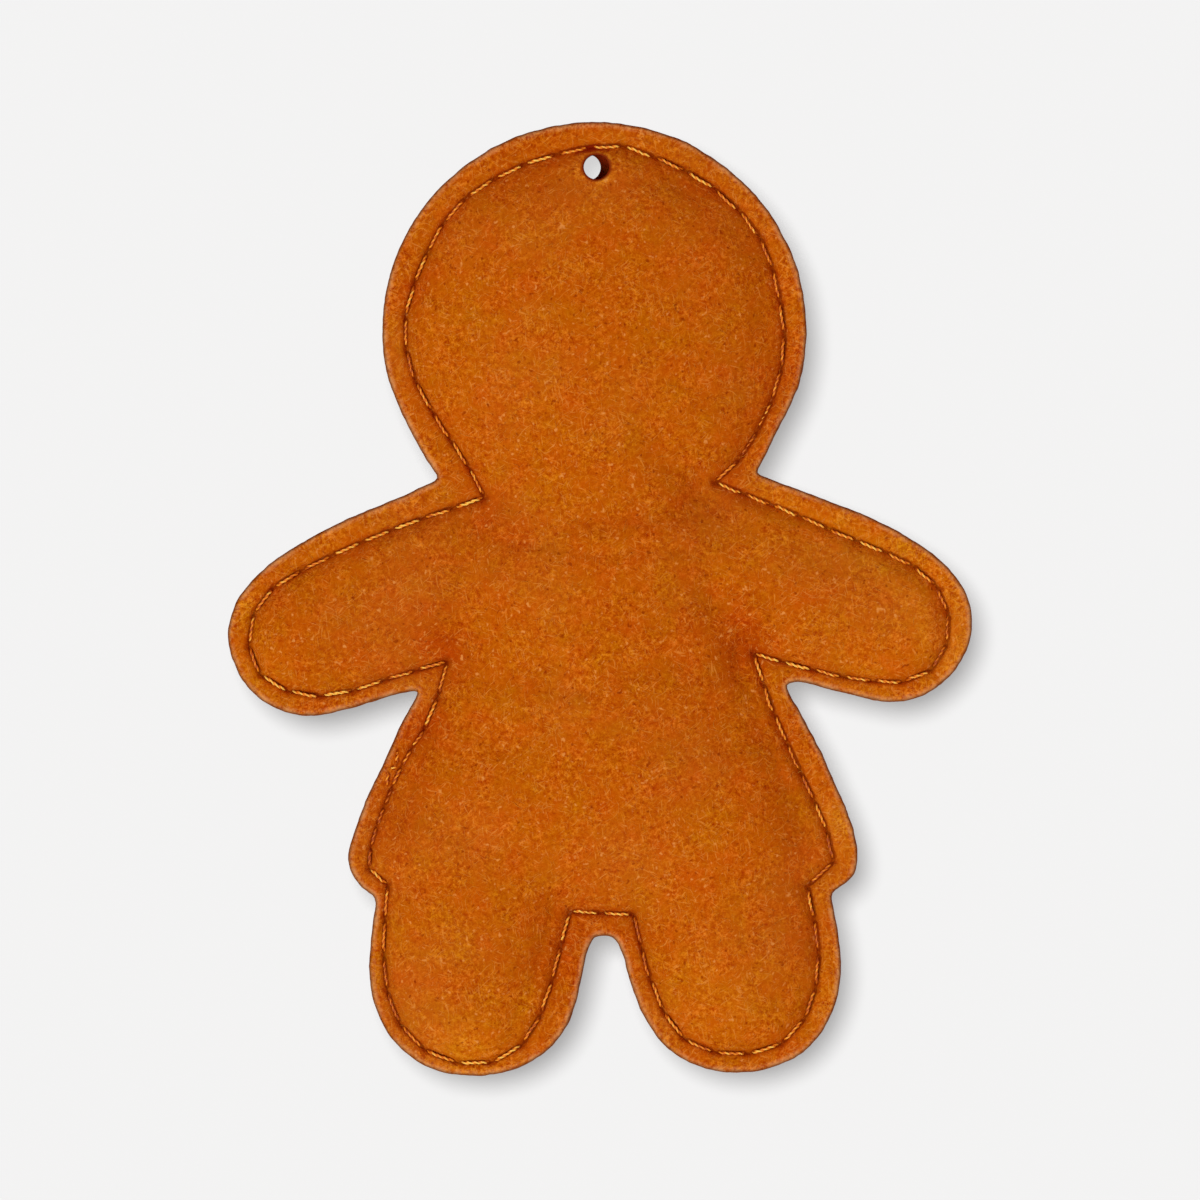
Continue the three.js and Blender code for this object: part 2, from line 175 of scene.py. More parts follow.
# %% Card for the wall and the floor
WALL_Y = 8.15 * MM
FLOOR_Z = -142 * MM
GROUND_SIZE = 3.0
WALL_GLOW = 0.46  # the part of the wall's brightness that no shadow takes away
FLOOR_GLOW = 0.84
CARD_SHARE = 0.03  # so little that the orange felt hardly tints the card
WORLD_ON_CARD = 0.2  # the world's light on the card, next to the lamp's
CARD_LAMP = [(1 - WALL_GLOW) / CARD_SHARE - WORLD_ON_CARD] * 3
LIT_THROUGH_HOLE = 0.24  # painted light: the card glows brighter behind the hanging hole, as some lamp light would pass
LIT_FULLY, LIT_UNTIL = 8.6 * MM, 9.2 * MM  # from the middle of the hole, off the wall


def matt_card(name, plain_glow):
    """Pale card that only a camera in front of it sees."""
    material, tree = empty_material(name)
    path = add_node(tree, "LightPath")
    facing = add_node(tree, "NewGeometry")
    behind = facing.outputs["Backfacing"]
    front = add_node(tree, "Math", {0: 1.0, 1: behind}, operation="SUBTRACT")
    seen = path.outputs["Is Camera Ray"]
    shown = add_node(tree, "Math", {0: seen, 1: front}, operation="MULTIPLY")
    matt = add_node(tree, "BsdfDiffuse", {"Color": [CARD_SHARE * c for c in linear(PALE_GROUND)]})
    spot = add_node(tree, "TexCoord").outputs["Object"]
    from_hole = add_node(tree, "VectorMath", {0: spot}, operation="LENGTH").outputs["Value"]
    # Painted light: the card glows brighter behind the hanging hole.
    lit = add_node(tree, "MapRange", {
        "Value": from_hole, "From Min": LIT_UNTIL, "From Max": LIT_FULLY,
        "To Min": plain_glow, "To Max": plain_glow + LIT_THROUGH_HOLE,
    })
    glow = add_node(tree, "Emission", {"Color": linear(PALE_GROUND), "Strength": lit})
    card = add_node(tree, "AddShader", {0: matt, 1: glow})
    clear = add_node(tree, "BsdfTransparent")
    mixed = add_node(tree, "MixShader", {0: shown, 1: clear, 2: card})
    add_node(tree, "OutputMaterial", {"Surface": mixed})
    return material


# %% Stand up the wall and lay the floor
def add_ground(name, turn, place, material):
    """A large flat card that isn't part of the ornament."""
    bm = bmesh.new()
    matrix = Matrix.Translation(place) @ turn
    bmesh.ops.create_grid(bm, x_segments=1, y_segments=1, size=GROUND_SIZE / 2, matrix=matrix)
    mesh = bpy.data.meshes.new(name)
    bm.to_mesh(mesh)
    bm.free()
    mesh.materials.append(material)
    card_object = bpy.data.objects.new(name, mesh)
    scene.collection.objects.link(card_object)
    return card_object


STAND_UP = Matrix.Rotation(math.radians(90), 4, "X")  # turns a face from +Z to -Y, the front
cards = bpy.data.collections.new("cards that the card lamp lights")
for name, turn, place, glow in (
    ("wall", STAND_UP, (0, WALL_Y, 0), WALL_GLOW),
    ("floor", Matrix.Identity(4), (0, 0, FLOOR_Z), FLOOR_GLOW),
):
    cards.objects.link(add_ground(name, turn, place, matt_card(name + " card", glow)))

# %% Light them apart from the ornament
card_lamp = add_sun("card lamp", (-0.16, -1.0, 0.17), CARD_LAMP, 23)
card_lamp.light_linking.receiver_collection = cards
all_but_cards = bpy.data.collections.new("all that the ornament's lamps light")
all_but_cards.children.link(cards)
all_but_cards.collection_children[0].light_linking.link_state = "EXCLUDE"
for lamp in ornament_lamps:
    lamp.light_linking.receiver_collection = all_but_cards

# %% [markdown]
# ## The pattern
# Both panels are cut to one outline, and the seam runs inside it. They are drawn here as a
# pattern maker would, from a few points joined by smooth curves, in millimetres on the plane
# of the front: x to the right and z up, with the middle of the hanging hole as zero. Each
# stretch ends at a corner, which the blade then rounds by a hair. The solids were built from
# the same points, apart from one beside the left armpit that was read off again here.

# %% The cut outline, anticlockwise from the front
HEAD_MIDDLE = (0.05, -20.4)
HEAD_HALF_SIZE = (26.7, 26.2)
NECK_RIGHT = (20.3, -38.4)
NECK_LEFT = (-19.4, -39.1)
ARMPIT_LEFT = (-21.9, -65.7)
HIP_LEFT = (-27.4, -91.8)
CROTCH_LEFT = (0, -96.6)
CROTCH_RIGHT = (2.4, -96.6)
HIP_RIGHT = (29.8, -91.1)
ARMPIT_RIGHT = (24, -64.9)

head_curve = [
    (
        HEAD_MIDDLE[0] + HEAD_HALF_SIZE[0] * math.cos(math.radians(angle)),
        HEAD_MIDDLE[1] + HEAD_HALF_SIZE[1] * math.sin(math.radians(angle)),
    )
    for angle in range(-35, 216, 25)
]
outline_stretches = [
    [NECK_RIGHT, *head_curve, NECK_LEFT],
    [
        NECK_LEFT, (-25.4, -41.8), (-31.4, -44.3), (-36.2, -46.8), (-40.1, -49.3), (-42.9, -51.8),
        (-44.8, -54.3), (-45.9, -57.1), (-46, -59.6), (-45.4, -62.1), (-43.9, -64.9),
        (-41.5, -67.2), (-38.2, -68.6), (-35.5, -68.9), (-31.9, -68.3), (-26.9, -66.8),
        (-24.4, -66.1), ARMPIT_LEFT,
    ],
    [
        ARMPIT_LEFT, (-24, -69.4), (-26.3, -74.5), (-28.7, -79.5), (-30.4, -84.3), (-31, -86.8),
        (-30.4, -88.9), (-29.1, -90.6), HIP_LEFT,
    ],
    [
        HIP_LEFT, (-28.1, -97.1), (-28.2, -101.9), (-27.4, -105.9), (-25.3, -109.7), (-21, -113.1),
        (-15.6, -114.2), (-10.3, -113.5), (-6.2, -111.3), (-3.3, -107.7), (-1.6, -102.1),
        (-0.8, -98.5), CROTCH_LEFT,
    ],
    [CROTCH_LEFT, CROTCH_RIGHT],
    [
        CROTCH_RIGHT, (3.3, -98.1), (4.5, -102.1), (6.4, -106.9), (9.3, -110.8), (13.7, -113.2),
        (18.6, -113.8), (23.4, -112.8), (27.4, -110.3), (30.1, -106), (31.1, -100.3),
        (30.4, -94.6), HIP_RIGHT,
    ],
    [
        HIP_RIGHT, (31.4, -90.2), (32.8, -88.6), (33.2, -86.4), (32.7, -83.5), (30.7, -78.2),
        (27.8, -71.9), (25, -66.9), ARMPIT_RIGHT,
    ],
    [
        ARMPIT_RIGHT, (25.9, -64.7), (30.9, -65.9), (37.6, -67.2), (42.3, -65.9), (45.7, -62.8),
        (47.4, -59.1), (47.5, -56.2), (46.7, -53.3), (43.9, -49.6), (40.1, -46.8), (35.5, -44.3),
        (29.3, -41.8), (23.4, -39.6), NECK_RIGHT,
    ],
]

# %% The seam, the same way round, with the number of stitches in each stretch
seam_stretches = {
    "head": (28, [
        (15.2, -39.5), (18.4, -36.5), (21.4, -31.4), (23.5, -25.7), (24, -20.1), (23, -14.7),
        (21.3, -9.3), (17.9, -4.9), (13.1, -1.1), (6.4, 1.9), (2.4, 3), (-1.5, 2.5), (-9.7, 0.1),
        (-17.2, -4.7), (-21.5, -11.8), (-23.8, -19.7), (-22.9, -25.4), (-20, -31.1),
        (-15.2, -38.4), (-13.7, -41.4),
    ]),
    "left arm": (16, [
        (-13.7, -41.4), (-21.4, -44), (-29.8, -47.3), (-37.6, -51.1), (-41.8, -54.1),
        (-43.3, -58.4), (-43, -62.3), (-40.4, -64.9), (-36.5, -66.2), (-32.5, -66.2),
        (-24.7, -63.8), (-18.4, -62),
    ]),
    "left side": (2, [(-18.4, -62), (-19.6, -66.5), (-21.4, -70.7)]),
    "closing": (7, [
        (-21.4, -70.7), (-24, -74.9), (-26, -79.5), (-27.9, -84.8), (-28.3, -88.1),
    ]),
    "left skirt corner": (1, [(-28.3, -88.1), (-25.9, -90.1)]),
    "left leg": (12, [
        (-25.9, -90.1), (-26.4, -97.7), (-25.9, -103.8), (-23.9, -108.4), (-20.1, -111.6),
        (-15.8, -112.7), (-11.6, -112.1), (-8.1, -109.2), (-5.8, -104), (-4.3, -98.4),
        (-3, -93.5),
    ]),
    "crotch": (2, [(-3, -93.5), (5, -93.8)]),
    "right leg": (12, [
        (5, -93.8), (6.8, -100.9), (8.6, -105.7), (11.2, -109.4), (15.3, -111.2), (19.9, -111.3),
        (24.3, -109.7), (26.9, -106.3), (28.3, -100.9), (27.9, -95.2), (26.9, -90.3),
    ]),
    "right skirt corner": (1, [(26.9, -90.3), (30.2, -87.2)]),
    "right side": (7, [
        (30.2, -87.2), (29.2, -83), (25.8, -75.5), (22.4, -67.9), (20.1, -61),
    ]),
    "right arm": (17, [
        (20.1, -61), (27.4, -63), (34.2, -64.4), (40.4, -64.3), (43.5, -61.9), (44.8, -57.5),
        (43.3, -52.8), (40, -49.9), (32.7, -46.7), (25, -43.4), (15.2, -39.5),
    ]),
}

# %% Smooth curves through the points
CURVE_SAMPLES = 60  # between two of a curve's points


def lengths(vectors):
    """How long each of some vectors is."""
    return np.linalg.norm(vectors, axis=-1)


def smooth_curve(points):
    """Places close together on the curve through some points, bent as a thin batten bends."""
    known = np.array(points, float)
    known = np.vstack([2 * known[0] - known[1], known, 2 * known[-1] - known[-2]])
    before, start, end, after = (known[i : len(known) - 3 + i, None] for i in range(4))
    root_gaps = [
        np.sqrt(lengths(b - a))[..., None]
        for a, b in ((before, start), (start, end), (end, after))
    ]
    first, middle, last = root_gaps
    leaving = (start - before) / first - (end - before) / (first + middle) + (end - start) / middle
    arriving = (end - start) / middle - (after - start) / (middle + last) + (after - end) / last
    t = np.linspace(0, 1, CURVE_SAMPLES, endpoint=False)[None, :, None]
    curve = (
        (2 * t**3 - 3 * t**2 + 1) * start
        + (t**3 - 2 * t**2 + t) * middle * leaving
        + (3 * t**2 - 2 * t**3) * end
        + (t**3 - t**2) * middle * arriving
    )
    return np.vstack([curve.reshape(-1, 2), known[-2]])


def evenly(curve, steps):
    """Places an equal way apart along a curve, without its last one."""
    travelled = np.concatenate([[0], np.cumsum(lengths(np.diff(curve, axis=0)))])
    wanted = np.linspace(0, travelled[-1], steps, endpoint=False)
    return np.column_stack([np.interp(wanted, travelled, curve[:, k]) for k in (0, 1)])

# %% The cut line and the needle holes
OUTLINE_STEP = 0.6
outline_curves = [smooth_curve(points) for points in outline_stretches]
outline_parts = [
    evenly(curve, max(1, round(lengths(np.diff(curve, axis=0)).sum() / OUTLINE_STEP)))
    for curve in outline_curves
]
outline = np.vstack(outline_parts)
corners = np.cumsum([len(part) for part in outline_parts])
for _ in range(2):  # the blade can't turn on the spot, so it rounds each corner by a hair
    near = np.concatenate([corners - 1, corners, corners + 1]) % len(outline)
    beside = np.roll(outline, 1, axis=0) + np.roll(outline, -1, axis=0)
    outline[near] = (outline + beside / 2)[near] / 2
needle_holes = np.vstack([evenly(smooth_curve(p), steps) for steps, p in seam_stretches.values()])
stitch_lengths = lengths(np.roll(needle_holes, -1, axis=0) - needle_holes)
# Where the closing seam starts, the machine went back and forth once beside it.
backtack_holes = np.array([(-24.7, -73.0), (-24.7, -75.1), (-25.8, -75.7), (-26.0, -77.9)])
step_counts = {name: steps for name, (steps, _) in seam_stretches.items()}
closing_start = sum(step_counts[name] for name in ("head", "left arm", "left side"))
closing_end = closing_start + step_counts["closing"]
print("outline points:", len(outline), " stitches:", len(needle_holes))

# %% [markdown]
# ## Measuring from the outline and the seam
# Nearly everything about the felt depends on how far a spot is from the cut edge or from the
# seam: the edge is darkened, the seam pulls the felt down, and the stuffing lifts it
# inside. One function measures that for many places at once.

# %% Distances from a ring
PLACES_AT_ONCE = 128  # a small batch stays in the processor's cache


def measure(places, ring):
    """For each place: how far inside the ring it is (less than 0 outside), where along the
    ring the nearest point is, counted in its points, that point, and which way is inwards."""
    edge = np.roll(ring, -1, axis=0) - ring
    (start_x, start_z), (edge_x, edge_z) = ring.T, edge.T
    squared = edge_x**2 + edge_z**2
    slope = edge_x / np.where(edge_z == 0, 1e-9, edge_z)
    parts = []
    for first in range(0, len(places), PLACES_AT_ONCE):
        x, z = places[first : first + PLACES_AT_ONCE, :, None].transpose(1, 0, 2)
        dx, dz = x - start_x, z - start_z
        share = np.clip((dx * edge_x + dz * edge_z) / squared, 0, 1)
        gap = (dx - share * edge_x) ** 2 + (dz - share * edge_z) ** 2
        nearest = gap.argmin(1)
        rows = np.arange(len(x))
        share = share[rows, nearest]
        straddles = (start_z > z) != (start_z + edge_z > z)
        inside = (straddles & (dx < slope * dz)).sum(1) % 2 == 1
        point = ring[nearest] + share[:, None] * edge[nearest]
        way = edge[nearest] / np.sqrt(squared[nearest])[:, None]
        inwards = np.column_stack([-way[:, 1], way[:, 0]])
        depth = np.where(inside, 1, -1) * np.sqrt(gap[rows, nearest])
        parts.append((depth, nearest + share, point, inwards))
    return [np.concatenate(kind) for kind in zip(*parts)]


# %% Distance from a line
def from_line(places, start, end):
    """How far some places are from a straight line between two points."""
    way = np.subtract(end, start)
    share = np.clip((places - start) @ way / (way @ way), 0, 1)
    return lengths(places - start - share[:, None] * way)


# %% [markdown]
# ## A sheet cut from small squares
# The felt, the stuffing and the bag for the simulation all start as a flat sheet. A grid of
# small squares stands up in the plane of the front, the squares outside the outline are
# deleted, and the stepped edge that is left is moved onto the outline. Smoothing then evens
# out the squares beside it. A grid has even squares everywhere, which takes fine relief
# and bends well in the cloth simulation.

# %% Cut a sheet
SMOOTHING_ROUNDS = 6
HOLE_REACH = 2  # within so many of its radii, an edge is the hole's and not the outline's


def only(geometry, kind):
    """The vertices, edges or faces among what an operator has made."""
    return [g for g in geometry if isinstance(g, kind)]


def plane_places(verts):
    """The x and z of some vertices."""
    return np.array([(v.co.x, v.co.z) for v in verts])


def put_on_edges(verts, ring, inset, hole):
    """Moves vertices onto a ring moved inwards, or onto a round hole if that is nearer."""
    places = plane_places(verts)
    _, _, nearest, inwards = measure(places, ring)
    for v, place, point, way in zip(verts, places, nearest, inwards):
        target = point + inset * way
        if hole is not None:
            spoke = place - hole["middle"]
            reach = np.linalg.norm(spoke)
            if reach < HOLE_REACH * hole["radius"]:
                target = hole["middle"] + spoke / reach * (hole["radius"] + inset)
        v.co.x, v.co.z = target


def cut_sheet(ring, square, inset=0.0, hole=None):
    """A flat sheet of squares in the plane of the front, cut to a ring and punched."""
    low, high = ring.min(0) - square, ring.max(0) + square
    columns, rows = np.ceil((high - low) / square).astype(int)
    middle = (low + high) / 2
    size = Matrix.Diagonal((columns * square / 2, rows * square / 2, 1, 1))
    matrix = Matrix.Translation((middle[0], 0, middle[1])) @ STAND_UP @ size
    bm = bmesh.new()
    bmesh.ops.create_grid(bm, x_segments=columns, y_segments=rows, size=1, matrix=matrix)
    centres = np.array([face.calc_center_median().xz for face in bm.faces])
    outside = measure(centres, ring)[0] < inset
    if hole is not None:
        outside |= lengths(centres - hole["middle"]) < hole["radius"] + inset
    offcuts = [face for face, out in zip(bm.faces, outside) if out]
    bmesh.ops.delete(bm, geom=offcuts, context="FACES")
    for _ in range(SMOOTHING_ROUNDS):
        rim = [v for v in bm.verts if v.is_boundary]
        put_on_edges(rim, ring, inset, hole)
        near = {v for face in {f for r in rim for f in r.link_faces} for v in face.verts}
        bmesh.ops.smooth_vert(
            bm, verts=list(near), factor=0.5, use_axis_x=True, use_axis_y=False, use_axis_z=True
        )
    rim = [v for v in bm.verts if v.is_boundary]
    put_on_edges(rim, ring, inset, hole)
    bmesh.ops.remove_doubles(bm, verts=rim, dist=square / 8)
    return bm


# %% [markdown]
# ## How the stuffing fills the bag
# Stuffing blows the flat bag up like a small pillow: steep beside the seam, round on top,
# lower where two seams run close together, as in the arms and legs. A cloth simulation with
# air pressure inside does just that. The bag is simulated as one coarse closed cloth that is
# pinned along the seam, because the flat border holds the seam in shape. It is made ten
# times as large, as cloth settings are meant for things of that size.

# %% The pillow as a formula
FRONT, BACK = -1, 1
SEAM_PARTS = 8
CROWN = 1.33
CROWN_POWER = 0.6
CROWN_START = 0.95
FELT_FACE = 2.15  # from the middle plane to the face of the border


def depth_between_seams(places):
    """How deep a place lies between the seams round it. Beside one long seam this is its
    distance from the seam, and between several it evens out."""
    along = (np.arange(SEAM_PARTS) + 0.5) / SEAM_PARTS
    stitch = np.roll(needle_holes, -1, axis=0) - needle_holes
    middles = (needle_holes[:, None] + along[None, :, None] * stitch[:, None]).reshape(-1, 2)
    weights = np.repeat(lengths(stitch) / SEAM_PARTS, SEAM_PARTS)
    depths = []
    for first in range(0, len(places), PLACES_AT_ONCE):
        reach = places[first : first + PLACES_AT_ONCE, None] - middles
        pull = (weights / ((reach**2).sum(2) + 1e-6) ** 1.5).sum(1)
        depths.append(np.sqrt(2 / pull))
    return np.concatenate(depths)


def plain_pillow(places):
    """How far the stuffing lifts the felt, by the formula."""
    return np.maximum(0, CROWN * depth_between_seams(places) ** CROWN_POWER - CROWN_START)


# %% The bag, laid flat
BAG_SQUARE = 1.4
BAG_SCALE = 0.01  # one millimetre in the simulation, ten times its real size
BAG_START = 0.6  # how far the two sheets start apart, half of it
BAG_WRINKLE = 0.1  # a cloth with no wrinkle at all has no side to give way to
BAG_FRAMES = 26
BAG_CLOTH = {
    "quality": 6, "mass": 0.3, "air_damping": 4, "shrink_min": -0.04,
    "tension_stiffness": 40, "compression_stiffness": 40, "shear_stiffness": 20,
    "tension_damping": 25, "compression_damping": 25, "shear_damping": 25,
    "bending_stiffness": 4, "bending_damping": 1,
    "use_pressure": True, "uniform_pressure_force": 9.0,
    "vertex_group_mass": "seam", "pin_stiffness": 1,
}


def flat_bag():
    """A closed bag of the seam's shape: a front and a back sheet joined along the seam."""
    bm = cut_sheet(needle_holes, BAG_SQUARE)
    front = bm.verts[:]
    twin = bmesh.ops.duplicate(bm, geom=bm.verts[:] + bm.edges[:] + bm.faces[:])["geom"]
    bmesh.ops.reverse_faces(bm, faces=only(twin, bmesh.types.BMFace))
    chance = random.Random(7)
    for v in bm.verts:
        if not v.is_boundary:
            v.co.y = BAG_START + chance.uniform(-BAG_WRINKLE, BAG_WRINKLE)
    for v in front:
        v.co.y = -v.co.y
    pins = bm.verts.layers.deform.verify()
    rim = [v for v in bm.verts if v.is_boundary]
    for v in rim:
        v[pins][0] = 1.0
    bmesh.ops.remove_doubles(bm, verts=rim, dist=BAG_SQUARE / 20)
    bmesh.ops.transform(bm, matrix=Matrix.Scale(BAG_SCALE, 4), verts=bm.verts)
    return bm


# %% Blow up the bag
def blow_up_bag():
    """Simulates the bag and returns the shape it comes to, for measuring."""
    bm = flat_bag()
    mesh = bpy.data.meshes.new("bag")
    bm.to_mesh(mesh)
    bm.free()
    bag = bpy.data.objects.new("bag", mesh)
    scene.collection.objects.link(bag)
    bag.vertex_groups.new(name="seam")
    cloth = bag.modifiers.new("stuffing", "CLOTH")
    for name, value in BAG_CLOTH.items():
        setattr(cloth.settings, name, value)
    cloth.settings.effector_weights.gravity = 0
    cloth.collision_settings.use_collision = False
    cloth.point_cache.frame_start = 1
    cloth.point_cache.frame_end = BAG_FRAMES
    finer = bag.modifiers.new("finer", "SUBSURF")
    finer.levels = finer.render_levels = 2
    for number in range(1, BAG_FRAMES + 1):
        scene.frame_set(number)
    blown = bag.evaluated_get(bpy.context.evaluated_depsgraph_get())
    result = bmesh.new()
    result.from_mesh(blown.to_mesh())
    tree = BVHTree.FromBMesh(result)
    heights = [v.co.y / BAG_SCALE for v in result.verts]
    print("simulated bag from", round(min(heights), 2), "to", round(max(heights), 2), "mm")
    result.free()
    bpy.data.objects.remove(bag)
    scene.frame_set(1)
    return tree


bag_tree = blow_up_bag()

# %% How high the stuffing lifts each side
BAG_MIDDLE = 0.97  # the bag is kept near this share of the plain pillow
BAG_LEEWAY = 0.16
OUTSIDE_BAG = 30


def pillow(places, inside, side):
    """How far the stuffing lifts the felt on one side: -1 for the front, 1 for the back."""
    lift = np.zeros(len(places))
    plain = plain_pillow(places[inside])
    lift[inside] = plain
    if bag_tree is None:
        return lift
    for i, formula in zip(np.flatnonzero(inside), plain):
        start = Vector((places[i, 0], OUTSIDE_BAG * side, places[i, 1])) * BAG_SCALE
        spot = bag_tree.ray_cast(start, Vector((0, -side, 0)))[0]
        if spot is not None and formula > 0:
            beyond = side * spot.y / BAG_SCALE / formula - BAG_MIDDLE
            lift[i] = formula * (BAG_MIDDLE + BAG_LEEWAY * math.tanh(beyond / BAG_LEEWAY))
    return lift

# %% [markdown]
# ## The felt panels
# Each panel is one closed sheet, about 2 mm thick. It starts as a flat sheet of squares cut
# a little inside the outline. The whole sheet is extruded once for its inside layer, and
# the wall between the two layers is divided into rows, which then take the rounded shoulder
# and the cut edge. The squares beside the seam are divided again, because the stitches pull
# a narrow groove with a pit at each needle hole into the felt. Last, every vertex gets its
# height: the pillow, the groove, the pits, small puckers between the stitches, and the
# slow unevenness of felt that was filled by hand.

# %% What the seam does to the felt
PULL_DEPTH = 0.55  # how far the tight seam draws the felt down, and how wide
PULL_REACH = 1.0
GROOVE_DEPTH = 0.42
GROOVE_WIDTH = 0.38
CLOSING_GROOVE = 0.6  # on the front, the closing seam draws the felt down less
BACKTACK_GROOVE = 0.4  # and the stitches beside it still less
BACKTACK_SLIT = 0.1  # beside those the painted shadow of the thread is narrower
BORDER_SLIT = 0.08  # and on the border's side of every seam it is wider
PIT_DEPTH = 0.22
PIT_LENGTH = 0.55
PIT_WIDTH = 0.32
PUCKER_HEIGHT = 0.1
PUCKER_REACH = 1.3

# %% What the filling does to it
LUMP_SIZE = 11.0
LUMP_HEIGHT = 0.16
LUMP_START, FOLD_START = 4, 2  # so far from the seam, lumps and folds are at their full height
RIPPLE_SIZE = 2.6
RIPPLE_HEIGHT = 0.05
ROLL_DEPTH = 0.28  # the felt's face rolls off towards its cut edge
ROLL_REACH = 0.8
DEEPEST_FOLD = 0.6  # a fold takes no more than this share of the pillow's height
# Valleys that the filling left in the front: from, to, half their width and their depth.
FOLDS = [
    ((-14.5, -43.0), (-17.0, -60.0), 3.5, 0.9),  # left shoulder, where arm and torso meet
    ((13.5, -42.0), (15.5, -52.0), 3.0, 0.6),  # right shoulder
    ((14.5, -53.0), (20.0, -62.0), 2.5, 0.9),  # right armpit
    ((-11.3, -46.8), (0.0, -48.4), 0.8, 0.3),  # thin crease across the neck
    ((0.0, -48.4), (12.0, -48.0), 0.8, 0.3),
    ((15.0, -40.5), (8.5, -35.5), 2.8, 0.7),  # right corner of the neck
    ((20.5, -63.0), (27.5, -84.0), 3.2, 0.8),  # right side of the skirt
    ((-18.8, -62.5), (-26.5, -86.0), 1.6, 0.7),  # left side of the skirt
    ((-3.8, -94.0), (-9.0, -108.0), 2.4, 0.7),  # inner side of the left leg
    ((22.5, -14.0), (19.5, -31.0), 2.8, 0.5),  # right side of the head
    ((-11.0, -2.0), (10.0, -1.5), 1.6, 0.3),  # top of the head
    ((11.0, -2.0), (20.0, -9.5), 2.2, 0.35),
]

# %% Painted shade and painted light on the front
# The front felt is painted darker or paler here than its form alone makes it: painted shade
# in creases, corners and at the sides, painted light at the hands, feet and other places, and a
# painted highlight on the hanging hole's lip. Each entry gives the middle, the reach and how much
# paler.
PAINTED_LIGHT_AND_SHADE = [
    # top of the head, and round the hanging hole
    ((-9.0, 1.5), 4.5, -0.12), ((0.8, 0.8), 2.6, 0.14), ((0.2, 2.3), 0.9, 0.2),
    # painted highlight on the lower right lip of the hanging hole
    ((0.8, -1.7), 0.5, 0.8), ((1.5, -1.3), 0.5, 0.8),
    # sides of the head, right, then left
    ((13.7, -1.0), 3.0, -0.08), ((24.5, -27.0), 4.0, -0.2), ((21.5, -31.5), 2.5, -0.15),
    ((-23.0, -14.5), 2.6, -0.14),
    # corners of the neck, right and left
    ((17.4, -38.6), 3.0, -0.15), ((-13.5, -43.5), 4.0, -0.12),
    # left arm, most where it joins the torso
    ((-20.0, -58.0), 5.0, -0.12), ((-17.8, -60.6), 3.0, -0.2), ((-31.0, -58.5), 8.0, -0.06),
    # right arm where it joins the torso
    ((18.5, -55.5), 3.0, -0.12), ((19.2, -60.5), 3.5, -0.3),
    # right arm's upper seam
    ((22.5, -43.5), 3.0, 0.22), ((25.0, -44.2), 2.5, 0.18), ((29.5, -46.0), 3.0, 0.3),
    ((35.5, -48.5), 3.5, 0.3),
    # right arm and hand
    ((43.0, -60.5), 4.0, 0.14), ((35.0, -64.5), 4.0, 0.14), ((30.0, -51.0), 3.0, -0.06),
    ((42.0, -53.0), 4.0, 0.3), ((46.0, -60.0), 3.5, 0.15),
    # left arm's upper seam, and the hand
    ((-33.0, -49.0), 5.0, 0.12), ((-43.5, -64.0), 4.0, 0.15), ((-44.0, -55.0), 3.0, 0.12),
    # sides of the skirt, left, then right
    ((-22.5, -70.5), 3.5, -0.2), ((-25.5, -82.0), 5.0, -0.16), ((24.8, -70.3), 3.0, -0.14),
    ((25.5, -86.5), 3.0, -0.14),
    # inner sides of the legs
    ((-2.5, -98.0), 5.0, -0.17), ((5.0, -96.0), 2.5, -0.12), ((-3.2, -104.0), 3.0, -0.1),
    ((6.5, -102.7), 2.5, -0.1),
    # left foot, inner side of that leg, then right leg
    ((-16.5, -113.0), 5.0, 0.33), ((-11.0, -107.0), 3.0, 0.12), ((13.7, -105.0), 6.0, 0.12),
    ((29.5, -103.0), 4.0, 0.12),
    # right corner of the skirt, and the top of the left leg
    ((30.0, -83.0), 3.5, 0.2), ((-28.0, -98.0), 3.0, 0.15),
]
print(len(FOLDS), "folds and", len(PAINTED_LIGHT_AND_SHADE), "tones")


# %% The height of a face
def uneven(places, size, seed):
    """A slow random rise and fall between about -1 and 1, with lumps of one size."""
    return np.array([noise.noise(Vector((x / size, seed, z / size))) for x, z in places])


